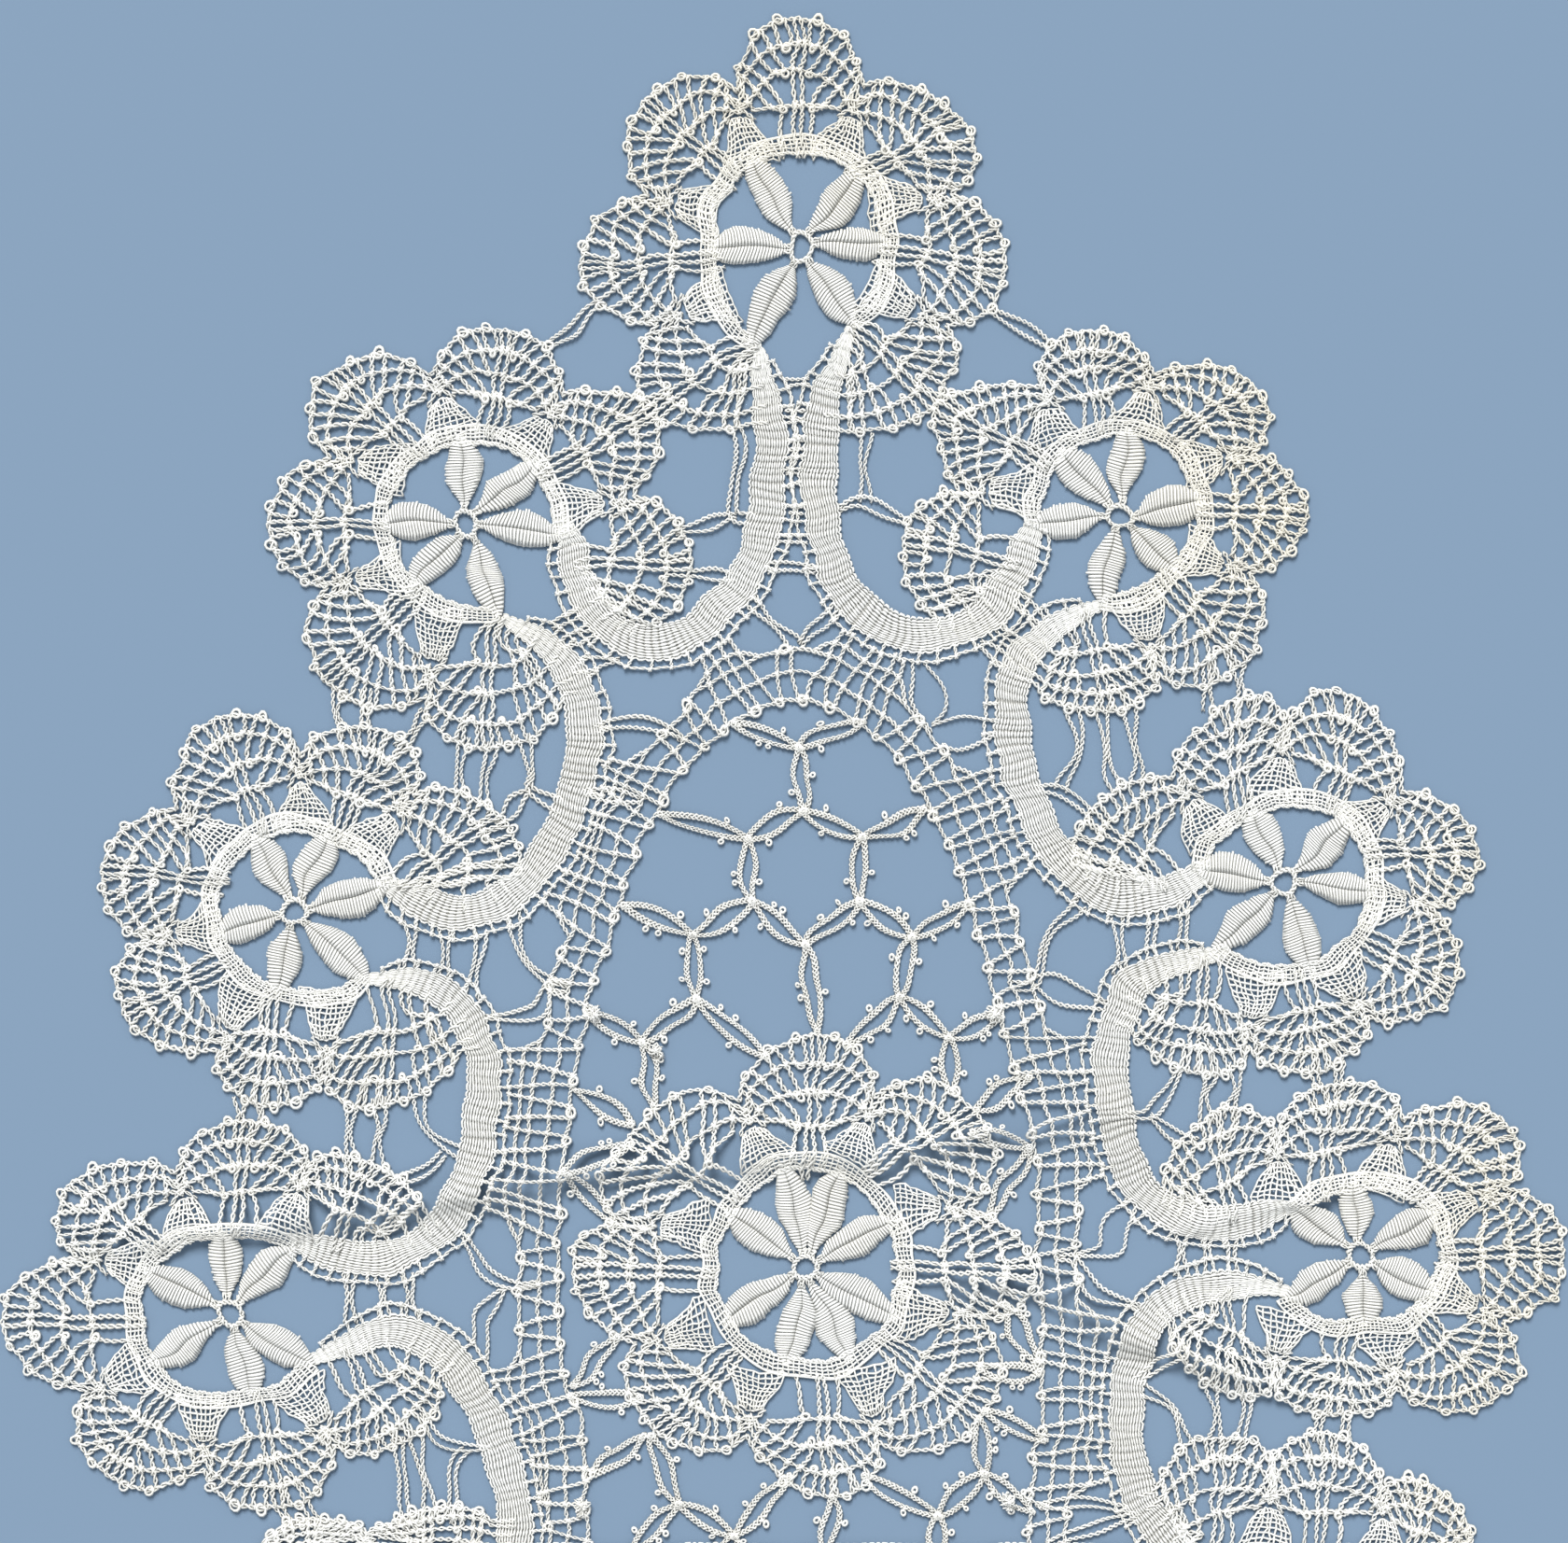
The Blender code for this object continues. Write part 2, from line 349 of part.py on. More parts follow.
def polar(x, y, angle, reach):
    return Vector((x + reach * math.cos(math.radians(angle)), y + reach * math.sin(math.radians(angle))))


def signed_area(loop):
    return sum(a.x * b.y - b.x * a.y for a, b in zip(loop, loop[1:] + loop[:1])) / 2


def arc(first, spoke_end, last, flat, steps):
    """The edge of a fan: half an ellipse from one wedge's end over the spoke's end to the next wedge."""
    middle = (first + last) / 2
    half = (first - last) / 2
    rise = spoke_end - middle
    points = []
    for i in range(steps + 1):
        turn = math.pi * i / steps
        along = math.copysign(abs(math.cos(turn)) ** flat, math.cos(turn))
        points.append(middle + half * along + rise * math.sin(turn) ** flat)
    return points


# ---- the parts of the lace, as flat pieces ----
def band_reach(ring, angle):
    """How far the middle of the ring's band is from the flower's centre, between its two nearest petals."""
    around = sorted(((petal.angle - angle) % 360, petal.reach) for petal in ring.petals)
    after = around[0]
    before = (around[-1][0] - 360, around[-1][1])
    t = -before[0] / (after[0] - before[0])
    return before[1] + (after[1] - before[1]) * (3 - 2 * t) * t * t + BAND_WIDTH / 2 - 0.1


def ring_pieces(ring):
    """Band round the flower, its hub and its petals."""
    count = round((ring.band_to - ring.band_from) / BAND_TURN)
    angles = [ring.band_from + (ring.band_to - ring.band_from) * i / count for i in range(count + 1)]
    band = [polar(ring.x, ring.y, angle, band_reach(ring, angle)) for angle in angles]
    pieces = strip(band, BAND_WIDTH / 2, BAND_WIDTH / 2)
    for petal in ring.petals:
        span = petal.reach - PETAL_START + 0.7
        points = [polar(ring.x, ring.y, petal.angle, PETAL_START + span * row.along) for row in PETAL_SHAPE]
        widths = [PETAL_WIDTH / 2 * row.wide for row in PETAL_SHAPE]
        pieces += strip(points, widths, widths)
    pieces.append([polar(ring.x, ring.y, 60 * i, HUB_RIM) for i in range(6)])
    return pieces


def hub_gap(ring):
    return [polar(ring.x, ring.y, 60 * i, HUB_HOLE) for i in range(6)]


def fan_pieces(first, spoke, last):
    """A solid fan between two ribs, with its outer edge a half ellipse."""
    ends = [Vector((rib.end_x, rib.end_y)) for rib in (first, spoke, last)]
    feet = [Vector((rib.foot_x, rib.foot_y)) for rib in (first, spoke, last)]
    feet = [foot + (foot - end).normalized() * OVERLAP for foot, end in zip(feet, ends)]
    edge = arc(ends[0], ends[1], ends[2], spoke.flat, FAN_STEPS)
    edge = [feet[0]] + edge + [feet[2]]
    return [[feet[1], a, b] for a, b in zip(edge, edge[1:])]


def fan_gaps(first, spoke, last):
    """The largest hole on each side of a fan's spoke, next to the ring's band."""
    foot = Vector((spoke.foot_x, spoke.foot_y))
    end = Vector((spoke.end_x, spoke.end_y))
    length = (end - foot).length
    if length < LEAST_SPOKE:
        return []
    along = (end - foot) / length
    across = Vector((-along.y, along.x))
    gaps = []
    for rib in (first, last):
        middle = Vector((rib.foot_x + rib.end_x, rib.foot_y + rib.end_y)) / 2
        reach = (middle - foot).dot(across)
        side = math.copysign(1.0, reach)
        wide = min(abs(reach) * FAN_GAP_SHARE, WIDEST_FAN_GAP)
        if (wide - SPOKE_HALF) * length * (FAN_GAP_TO - FAN_GAP_FROM) < LEAST_FAN_GAP:
            continue
        rows = ((FAN_GAP_FROM, SPOKE_HALF), (FAN_GAP_FROM + 0.03, wide),
                (FAN_GAP_TO - 0.02, wide * 0.94), (FAN_GAP_TO, SPOKE_HALF))
        gaps.append([foot + along * length * v + across * side * u for v, u in rows])
    return gaps


def lens(bar):
    start = Vector((bar.x0, bar.y0))
    end = Vector((bar.x1, bar.y1))
    widths = [BAR_TIP, BAR_HALF, BAR_HALF, BAR_TIP]
    along = (end - start).normalized() * KNOT_OVERLAP
    points = [start - along, start.lerp(end, 0.3), start.lerp(end, 0.7), end + along]
    return strip(points, widths, widths)


def trail_widths(trail, path):
    """Half widths, left and right: a trail narrows into the flowers, and its footing stops before them."""
    lengths = [0.0]
    for a, b in zip(path, path[1:]):
        lengths.append(lengths[-1] + (b - a).length)
    lefts = []
    rights = []
    for done in lengths:
        left_over = 1e3 if trail.name.endswith("foot") else lengths[-1] - done
        near = min(done, left_over)
        half = TRAIL_HALF * min(1.0, 0.6 + 0.4 * near / TAPER)
        footing = FOOTING * min(max(near / TAPER - 0.5, 0.0), 1.0)
        lefts.append(half + (footing if trail.footing > 0 else 0.0))
        rights.append(half + (footing if trail.footing < 0 else 0.0))
    return lefts, rights


def lace_pieces():
    solid = []
    gaps = []
    for ring in RINGS:
        solid += ring_pieces(ring)
        gaps.append(hub_gap(ring))
    for rows in RIBS.values():
        for i in range(0, len(rows) - 2, 2):
            solid += fan_pieces(rows[i], rows[i + 1], rows[i + 2])
            gaps += fan_gaps(rows[i], rows[i + 1], rows[i + 2])
        for rib in rows:
            if rib.kind == "wedge":
                line = [Vector((rib.foot_x, rib.foot_y)), Vector((rib.end_x, rib.end_y))]
                solid += strip(line, [WEDGE_FOOT, WEDGE_END], [WEDGE_FOOT, WEDGE_END])
    for trail in TRAILS:
        path = spline(trail.stops, CURVE_STEP)
        lefts, rights = trail_widths(trail, path)
        solid += strip(path, lefts, rights)
    solid += strip(spline(ARCH, CURVE_STEP + 1.0), ARCH_HALF, ARCH_HALF)
    for bar in BARS:
        solid += lens(bar)
    for stops in JOINS:
        solid += strip(spline(stops, JOIN_STEP), JOIN_HALF, JOIN_HALF)
    solid.append([Vector(corner) for corner in (
        (FOOTSIDE_LEFT, FOOTSIDE_BOTTOM), (FOOTSIDE_RIGHT, FOOTSIDE_BOTTOM),
        (FOOTSIDE_RIGHT, FOOTSIDE_TOP), (FOOTSIDE_LEFT, FOOTSIDE_TOP))])
    return solid, gaps


# ---- joining the flat pieces into one outline ----
def triangulate(loops, edges=()):
    """Triangles of the whole plane, cut along every loop and every extra line."""
    points = []
    lines = []
    for loop in loops:
        first = len(points)
        lines += [(first + i, first + (i + 1) % len(loop)) for i in range(len(loop))]
        points += loop
    for edge in edges:
        lines += [(len(points) + i, len(points) + i + 1) for i in range(len(edge) - 1)]
        points += edge
    found = delaunay_2d_cdt(points, lines, [], 0, MERGE)
    return found[0], found[2]


def times_inside(loops, verts, triangles):
    """For the middle of each triangle, how many of the loops hold it."""
    corners = np.array([(v.x, v.y) for v in verts])
    middles = corners[np.array(triangles)].mean(axis=1)
    counts = np.zeros(len(middles), int)
    for loop in loops:
        shape = np.array([(p.x, p.y) for p in loop])
        in_box = (middles > shape.min(axis=0)) & (middles < shape.max(axis=0))
        near = np.flatnonzero(in_box.all(axis=1))
        x, y = middles[near].T
        odd = np.zeros(len(near), bool)
        for (ax, ay), (bx, by) in zip(shape, np.roll(shape, -1, axis=0)):
            if ay != by:
                odd ^= ((ay > y) != (by > y)) & (x < (bx - ax) * (y - ay) / (by - ay) + ax)
        counts[near[odd]] += 1
    return counts


def outline(keep, triangles):
    """Closed loops round the kept triangles, and the corners where two loops touch."""
    directed = set()
    for index in keep:
        a, b, c = triangles[index]
        directed |= {(a, b), (b, c), (c, a)}
    border = {}
    for a, b in directed:
        if (b, a) not in directed:
            border.setdefault(a, []).append(b)
    touching = [corner for corner, others in border.items() if len(others) > 1]
    loops = []
    while border:
        start = min(border)
        loop = [start]
        while True:
            others = border[loop[-1]]
            step = others.pop()
            if not others:
                del border[loop[-1]]
            if step == start:
                break
            loop.append(step)
        loops.append(loop)
    return loops, touching


def thin_out(loop):
    """The loop without the points that lie within KEEP_WITHIN of a straight run."""
    def run(part):
        if len(part) < 3:
            return part[:-1]
        start, end = part[0], part[-1]
        span = end - start
        length = max(span.length, 1e-9)
        if length > 0.01:
            offsets = [abs((p - start).cross(span)) / length for p in part]
        else:
            offsets = [(p - start).length for p in part]
        worst = max(range(1, len(part) - 1), key=lambda i: offsets[i])
        if offsets[worst] <= KEEP_WITHIN:
            return [start]
        return run(part[:worst + 1]) + run(part[worst:])
    far = max(range(len(loop)), key=lambda i: (loop[i] - loop[0]).length)
    return run(loop[:far + 1]) + run(loop[far:] + loop[:1])


def joined_outline():
    solid, gaps = lace_pieces()
    patches = []
    for _ in range(8):
        verts, triangles = triangulate(solid + patches + gaps)
        solid_here = times_inside(solid, verts, triangles) > 0
        gap_here = times_inside(gaps, verts, triangles) > 0
        patch_here = times_inside(patches, verts, triangles) > 0
        keep = np.flatnonzero((solid_here & ~gap_here) | patch_here).tolist()
        found, touching = outline(keep, triangles)
        if not touching:
            break
        for corner in touching:
            turns = (PATCH_TURN + math.pi / 2 * k for k in range(4))
            patches.append([verts[corner] + Vector((math.cos(a), math.sin(a))) * PATCH_RADIUS for a in turns])
    shapes = []
    for loop in found:
        shape = [verts[i] for i in loop]
        if signed_area(shape) < 0 and -signed_area(shape) < SMALLEST_GAP:
            continue
        shapes.append(thin_out(shape))
    return shapes


# ---- height of the creases ----
def crease_lines():
    lines = []
    for crease in CREASES:
        path = spline(crease.stops, 9.0)
        for offset in CREASE_OFFSETS:
            lefts, _ = sides(path, offset * crease.width, 0.0)
            lines.append(lefts)
    return lines


def lift(point):
    """How far the creases raise this point."""
    total = 0.0
    for crease in CREASES:
        path = [Vector(stop) for stop in crease.stops]
        whole = sum((b - a).length for a, b in zip(path, path[1:]))
        nearest = 1e9
        along = 0.0
        done = 0.0
        for a, b in zip(path, path[1:]):
            span = b - a
            t = min(max((point - a).dot(span) / span.length_squared, 0.0), 1.0)
            gap = (a + span * t - point).length
            if gap < nearest:
                nearest = gap
                along = (done + span.length * t) / whole
            done += span.length
        fade = min(1.0, 5.0 * along, 5.0 * (1.0 - along))
        total += crease.height * fade * math.exp(-(nearest / crease.width) ** 2)
    return total


def build_lace():
    shapes = joined_outline()
    verts, triangles = triangulate(shapes, crease_lines())
    keep = np.flatnonzero(times_inside(shapes, verts, triangles) % 2).tolist()
    used = sorted({corner for i in keep for corner in triangles[i]})
    order = {corner: i for i, corner in enumerate(used)}
    count = len(used)
    heights = [lift(verts[corner]) for corner in used]
    points = [(verts[c].x * MM, verts[c].y * MM, h * MM) for c, h in zip(used, heights)]
    points += [(verts[c].x * MM, verts[c].y * MM, (h + THICKNESS) * MM) for c, h in zip(used, heights)]
    faces = []
    directed = set()
    for i in keep:
        a, b, c = (order[corner] for corner in triangles[i])
        faces.append((c, b, a))
        faces.append((a + count, b + count, c + count))
        directed |= {(a, b), (b, c), (c, a)}
    for a, b in sorted(directed):
        if (b, a) not in directed:
            faces.append((a, b, b + count, a + count))
    mesh = bpy.data.meshes.new("lace")
    mesh.from_pydata(points, [], faces)
    mesh.validate()
    tidy = bmesh.new()
    tidy.from_mesh(mesh)
    bmesh.ops.triangulate(tidy, faces=tidy.faces[:])
    bmesh.ops.recalc_face_normals(tidy, faces=tidy.faces[:])
    tidy.to_mesh(mesh)
    tidy.free()
    lace = bpy.data.objects.new("lace", mesh)
    bpy.context.scene.collection.objects.link(lace)
    return lace


def thread_material():
    material = bpy.data.materials.new("thread")
    material.use_nodes = True
    shader = material.node_tree.nodes["Principled BSDF"]
    shader.inputs["Base Color"].default_value = (0.82, 0.80, 0.74, 1.0)
    shader.inputs["Roughness"].default_value = 0.9
    return material


for old in list(bpy.data.objects):
    bpy.data.objects.remove(old, do_unlink=True)
lace = build_lace()
lace.data.materials.append(thread_material())
low = [min(v.co[k] for v in lace.data.vertices) for k in range(3)]
high = [max(v.co[k] for v in lace.data.vertices) for k in range(3)]
print("lace", len(lace.data.vertices), "vertices", len(lace.data.polygons), "triangles")
print("from", [round(v * 1000, 2) for v in low], "to", [round(v * 1000, 2) for v in high])
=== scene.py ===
# %% [markdown]
# This lesson dresses one end of a bobbin lace mat. Bobbin lace is made of thread alone: pairs of
# threads are twisted, crossed and pinned over a pattern, so nothing in it is cut or printed. The
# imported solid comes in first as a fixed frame. It gives the true outline and place, and everything
# below is thread laid inside it. Lace printed on a flat sheet would be quicker to make, but it would
# have no edges, no shadows between the threads and nothing to see from the side.

# %% the frame
import math
from collections import namedtuple
import bpy
import numpy as np
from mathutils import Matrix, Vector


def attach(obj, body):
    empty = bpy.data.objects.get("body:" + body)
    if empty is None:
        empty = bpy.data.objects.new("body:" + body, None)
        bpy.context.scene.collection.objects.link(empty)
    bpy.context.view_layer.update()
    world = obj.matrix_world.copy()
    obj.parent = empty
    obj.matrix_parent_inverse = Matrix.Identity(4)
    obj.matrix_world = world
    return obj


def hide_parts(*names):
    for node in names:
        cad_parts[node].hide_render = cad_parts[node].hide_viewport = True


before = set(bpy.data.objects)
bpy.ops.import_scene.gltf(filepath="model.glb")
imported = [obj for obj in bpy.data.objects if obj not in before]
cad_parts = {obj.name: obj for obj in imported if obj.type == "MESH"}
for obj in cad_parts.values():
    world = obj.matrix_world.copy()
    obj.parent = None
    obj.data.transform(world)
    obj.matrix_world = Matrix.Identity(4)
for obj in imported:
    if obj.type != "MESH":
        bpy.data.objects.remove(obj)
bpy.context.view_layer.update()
MM = 0.001

# %% [markdown]
# The view comes next, because everything is judged through it. The lace lies flat and is seen from
# straight above. A long lens a good way off keeps the raised petals from leaning outwards, as a
# short lens close by would make them do.

# %% camera
VIEW_WIDTH = 213.36
VIEW_MIDDLE = (0.0, 3.24)
LENS = 100.0
SENSOR = 36.0
LACE_TOP = 0.6
eye = bpy.data.cameras.new("eye")
eye.lens = LENS
eye.sensor_width = SENSOR
camera = bpy.data.objects.new("eye", eye)
camera_height = VIEW_WIDTH * LENS / SENSOR
camera.location = (VIEW_MIDDLE[0] * MM, VIEW_MIDDLE[1] * MM, (camera_height + LACE_TOP) * MM)
bpy.context.scene.collection.objects.link(camera)
bpy.context.scene.camera = camera
print("camera is", round(camera_height), "mm above the lace")

# %% [markdown]
# Everything is planned flat, in millimetres, as a lacemaker pricks a pattern on card. Real cloth is
# never as regular as its plan, so the laid threads are moved by one slow, seeded wander, about a
# fifth of a millimetre on average. Because all threads go through the same wander, what meets on the
# plan still meets afterwards. Moving each thread by itself would have torn the joints.

# %% wander
rng = np.random.default_rng(7)
WANDER = 0.2
WAVES = 10
WAVE_LENGTHS = (5.0, 14.0)
WAVE_SUM = 2.2
waves = rng.normal(0.0, 1.0, (WAVES, 2))
waves *= (2 * math.pi / rng.uniform(*WAVE_LENGTHS, WAVES) / np.linalg.norm(waves, axis=1))[:, None]
wave_starts = rng.uniform(0.0, 2 * math.pi, (WAVES, 3))


def wander(flat, axis):
    """How far each place on the plan moves along one axis."""
    return WANDER * np.sin(flat @ waves.T + wave_starts[:, axis]).sum(axis=1) / WAVE_SUM


strewn = rng.uniform(-90, 90, (999, 2))
print("the wander moves a stitch by up to", round(np.abs(wander(strewn, 0)).max(), 2), "mm")

# %% [markdown]
# The cloth isn't quite flat either: three soft creases run across it. A crease is a few stops, a
# height and a width, and it raises the threads near it and fades out towards its ends. Lifting the
# finished threads is simpler than bending every path, and it keeps to the folds of the solid.

# %% creases
Crease = namedtuple("Crease", "height width stops")
CREASES = (
    Crease(2.3, 2.2, ((-104.0, -62.4), (-75.0, -58.4), (-51.0, -55.6), (-28.0, -50.8), (-8.0, -49.3),
                      (15.0, -48.6), (29.0, -45.5), (44.5, -43.0), (52.0, -42.5))),
    Crease(1.8, 2.0, ((15.0, -64.8), (36.0, -66.4), (46.0, -73.4), (56.0, -76.2), (71.0, -82.0))),
    Crease(1.5, 1.9, ((50.0, -59.2), (64.0, -56.0), (80.0, -52.6))),
)
CREASE_FADE = 5.0


def lift(flat):
    """How far the creases raise each place on the plan."""
    total = np.zeros(len(flat))
    for crease in CREASES:
        stops = np.array(crease.stops)
        lengths = np.linalg.norm(np.diff(stops, axis=0), axis=1)
        done = np.concatenate([[0.0], np.cumsum(lengths)])
        nearest = np.full(len(flat), 1e9)
        along = np.zeros(len(flat))
        for i, length in enumerate(lengths):
            span = stops[i + 1] - stops[i]
            t = np.clip((flat - stops[i]) @ span / length ** 2, 0.0, 1.0)
            gap = np.linalg.norm(flat - stops[i] - t[:, None] * span, axis=1)
            along = np.where(gap < nearest, (done[i] + length * t) / done[-1], along)
            nearest = np.minimum(nearest, gap)
        fade = np.clip(CREASE_FADE * np.minimum(along, 1.0 - along), 0.0, 1.0)
        total += crease.height * fade * np.exp(-(nearest / crease.width) ** 2)
    return total


print(len(CREASES), "creases raise the cloth by up to", round(lift(strewn).max(), 1), "mm")

# %% [markdown]
# Every thread follows a path. A smooth curve through a few stops gives the path its shape, and
# evenly spaced points along it give the thread its steps. Straight lines from stop to stop would be
# shorter to write, but thread under tension over pins bends softly and shows no corners.

# %% paths
def smooth(stops, step=0.6):
    """Points about one step apart on a smooth curve through the stops."""
    stops = np.array(stops, float)
    ends = np.vstack([2 * stops[0] - stops[1], stops, 2 * stops[-1] - stops[-2]])
    found = []
    for before, start, end, after in zip(ends[:-3], ends[1:-2], ends[2:-1], ends[3:]):
        pieces = max(1, round(np.linalg.norm(end - start) / step))
        t = np.arange(pieces)[:, None] / pieces
        straight = 2 * start + (end - before) * t
        bend = (2 * before - 5 * start + 4 * end - after) * t * t
        twist = (3 * start - before - 3 * end + after) * t ** 3
        found.append(0.5 * (straight + bend + twist))
    return np.vstack(found + [stops[-1:]])


def gone_along(path):
    return np.concatenate([[0.0], np.cumsum(np.linalg.norm(np.diff(path, axis=0), axis=1))])


def even(path, step):
    """The same path with points evenly spaced, about one step apart."""
    gone = gone_along(path)
    at = np.linspace(0.0, gone[-1], max(2, round(gone[-1] / step) + 1))
    return np.column_stack([np.interp(at, gone, column) for column in path.T])


arc = smooth(((0.0, 0.0), (5.0, 4.0), (10.0, 0.0)))
print("an arc through three stops is", round(gone_along(arc)[-1], 1), "mm long, in", len(arc), "points")

# %% [markdown]
# A path on the plan is flat, so a height is added where it has none. At each of its points the
# thread also needs to know which way is ahead, left and up, because pairs twist round their path
# and tapes spread out to both sides of theirs.

# %% heights and sides
BED = 0.45


def raised(path, height=BED):
    path = np.asarray(path, float)
    return path if path.shape[1] == 3 else np.column_stack([path, np.full(len(path), height)])


def directions(path):
    """Ahead, to the left and up, at each point of a raised path."""
    ahead = np.gradient(path, axis=0)
    ahead /= np.linalg.norm(ahead, axis=1)[:, None] + 1e-9
    left = np.column_stack([-ahead[:, 1], ahead[:, 0], np.zeros(len(path))])
    left /= np.linalg.norm(left, axis=1)[:, None] + 1e-9
    return ahead, left, np.cross(ahead, left)


def beside(path, away):
    """The path moved to its left by a distance, or by one distance for each point."""
    left = directions(raised(path))[1][:, :path.shape[1]]
    return path + left * np.broadcast_to(away, len(path))[:, None]


print("the arc moved 1 mm to its left is", round(gone_along(beside(arc, 1.0))[-1], 1), "mm long")

# %% [markdown]
# A skein holds the threads of one piece and turns them into one mesh at the end, through the wander and over
# the creases. A curve object for each thread would be easier to write, but it would need thousands of
# objects. Each point carries a value of tone and painted shade, which the finish reads as how grey the
# thread is: a random tone for each thread, plus painted shade in the gaps and dips between threads.

# %% skein
WANDER_UP = 0.12
LOWEST = 0.02


class Skein:
    """Collects the threads of one piece, and lays them as one mesh."""

    def __init__(self):
        self.points = []
        self.faces = []
        self.tones_and_shades = []
        self.count = 0

    def add(self, points, faces, tone_and_shade):
        self.points.append(points)
        self.faces.append(faces + self.count)
        self.tones_and_shades.append(np.broadcast_to(tone_and_shade, len(points)))
        self.count += len(points)

    def piece(self, name, finish):
        points = np.vstack(self.points)
        faces = np.vstack(self.faces)
        flat = points[:, :2].copy()
        points[:, 2] += lift(flat) + WANDER_UP * wander(flat, 2)
        points[:, 2] = np.maximum(points[:, 2], LOWEST)
        points[:, :2] = flat + np.column_stack([wander(flat, 0), wander(flat, 1)])
        mesh = bpy.data.meshes.new(name)
        mesh.vertices.add(len(points))
        mesh.vertices.foreach_set("co", (points * MM).ravel())
        mesh.loops.add(faces.size)
        mesh.loops.foreach_set("vertex_index", faces.ravel().astype(np.int32))
        mesh.polygons.add(len(faces))
        mesh.polygons.foreach_set("loop_start", np.arange(0, faces.size, 3, dtype=np.int32))
        mesh.polygons.foreach_set("use_smooth", np.ones(len(faces), bool))
        mesh.update(calc_edges=True)
        mesh.attributes.new("tone_and_shade", "FLOAT", "POINT").data.foreach_set("value", np.concatenate(self.tones_and_shades))
        made = bpy.data.objects.new(name, mesh)
        made.data.materials.append(finish)
        bpy.context.scene.collection.objects.link(made)
        print(name, "has", len(faces), "triangles")
        return made


# %% [markdown]
# Each thread is a closed tube with only three sides: one corner on top and two below. Smooth shading makes
# it look round at this size, and it keeps a whole mat of real threads within a million triangles. A round
# bevel would need several times as many. The two lower corners get a painted shade, greyer by the value
# edge, because little light gets down between threads that lie side by side.

# %% one thread
THREAD = 0.17
CORNERS = (0.5 * math.pi, 1.1667 * math.pi, 1.8333 * math.pi)


def strand(skein, path, radius=THREAD, tone_and_shade=None, flat=1.0, edge=0.9):
    """One thread, pressed flatter where flat is under 1, with painted shade of strength edge at its two
    lower corners.
    """
    path = raised(path)
    _, left, up = directions(path)
    radius = np.broadcast_to(radius, len(path))[:, None]
    rings = [path + radius * (left * math.cos(a) + flat * up * math.sin(a)) for a in CORNERS]
    i = np.arange(len(path) - 1)[:, None] * 3
    walls = []
    for a, b in ((0, 1), (1, 2), (2, 0)):
        walls += [np.hstack([i + a, i + b, i + b + 3]), np.hstack([i + a, i + b + 3, i + a + 3])]
    last = 3 * len(path) - 3
    caps = np.array([[0, 2, 1], [last, last + 1, last + 2]])
    tone_and_shade = rng.uniform(-0.3, 0.4) if tone_and_shade is None else tone_and_shade
    # Painted shade: the two lower corners are made greyer by edge.
    tone_and_shade = np.broadcast_to(tone_and_shade, len(path))[:, None] + edge * np.array([0.0, 1.0, 1.0])
    skein.add(np.stack(rings, axis=1).reshape(-1, 3), np.vstack(walls + [caps]), tone_and_shade.ravel())


print("a thread is about", round(2 * THREAD, 2), "mm thick")

# %% [markdown]
# Most of this lace is twisted pairs. The two threads wind round each other once in about two millimetres, a
# little flattened, and each gets a painted shade where it dips under the other. That painted dark dip is
# what makes a pair look like a cord from a distance, so it is given its own share of each point's tone and
# shade.

# %% a twisted pair
PAIR = 0.225
PAIR_TURN = 2.15
PAIR_STEPS = 4
PAIR_FLAT = 0.7
PAIR_UNDER_SHADE = 2.8


def twisted(skein, path, radius=THREAD, spread=PAIR, turn=PAIR_TURN):
    """Two threads twisted round each other along the path."""
    path = even(raised(path), turn / PAIR_STEPS)
    _, left, up = directions(path)
    start = rng.uniform(0.0, 2 * math.pi)
    tone_and_shade = rng.uniform(-0.2, 0.5)
    for half in (0.0, math.pi):
        angle = (start + half + np.arange(len(path)) * 2 * math.pi / PAIR_STEPS)[:, None]
        # Painted shade: each thread is made darker where it dips under the other.
        under = np.clip(-np.sin(angle[:, 0] + 0.3), 0.0, 1.0)
        line = path + spread * (left * np.cos(angle) + PAIR_FLAT * up * np.sin(angle))
        strand(skein, line, radius, tone_and_shade + PAIR_UNDER_SHADE * under)


print("a pair is", round(2 * (PAIR + THREAD), 2), "mm wide and turns once in", PAIR_TURN, "mm")

# %% [markdown]
# Thread gets its look from three things: a fine fuzz of fibres, slow patches where the cloth has
# aged or been handled, and a slight difference from one thread to the next. The maths of the finish
# is written as plain sums. A small class wraps a socket of the shader and lets + and * make the
# Math nodes, so that the formula can be read. Linking the nodes by hand would give the same look.

# %% sums on sockets
class Wire:
    """A socket of a shader that can be used in sums."""

    def __init__(self, finish, socket):
        self.finish = finish
        self.socket = socket

    def maths(self, operation, other):
        return self.finish.node("ShaderNodeMath", {"operation": operation}, {0: self, 1: other})

    def __add__(self, other):
        return self.maths("ADD", other)

    def __mul__(self, other):
        return self.maths("MULTIPLY", other)

    __radd__ = __add__
    __rmul__ = __mul__


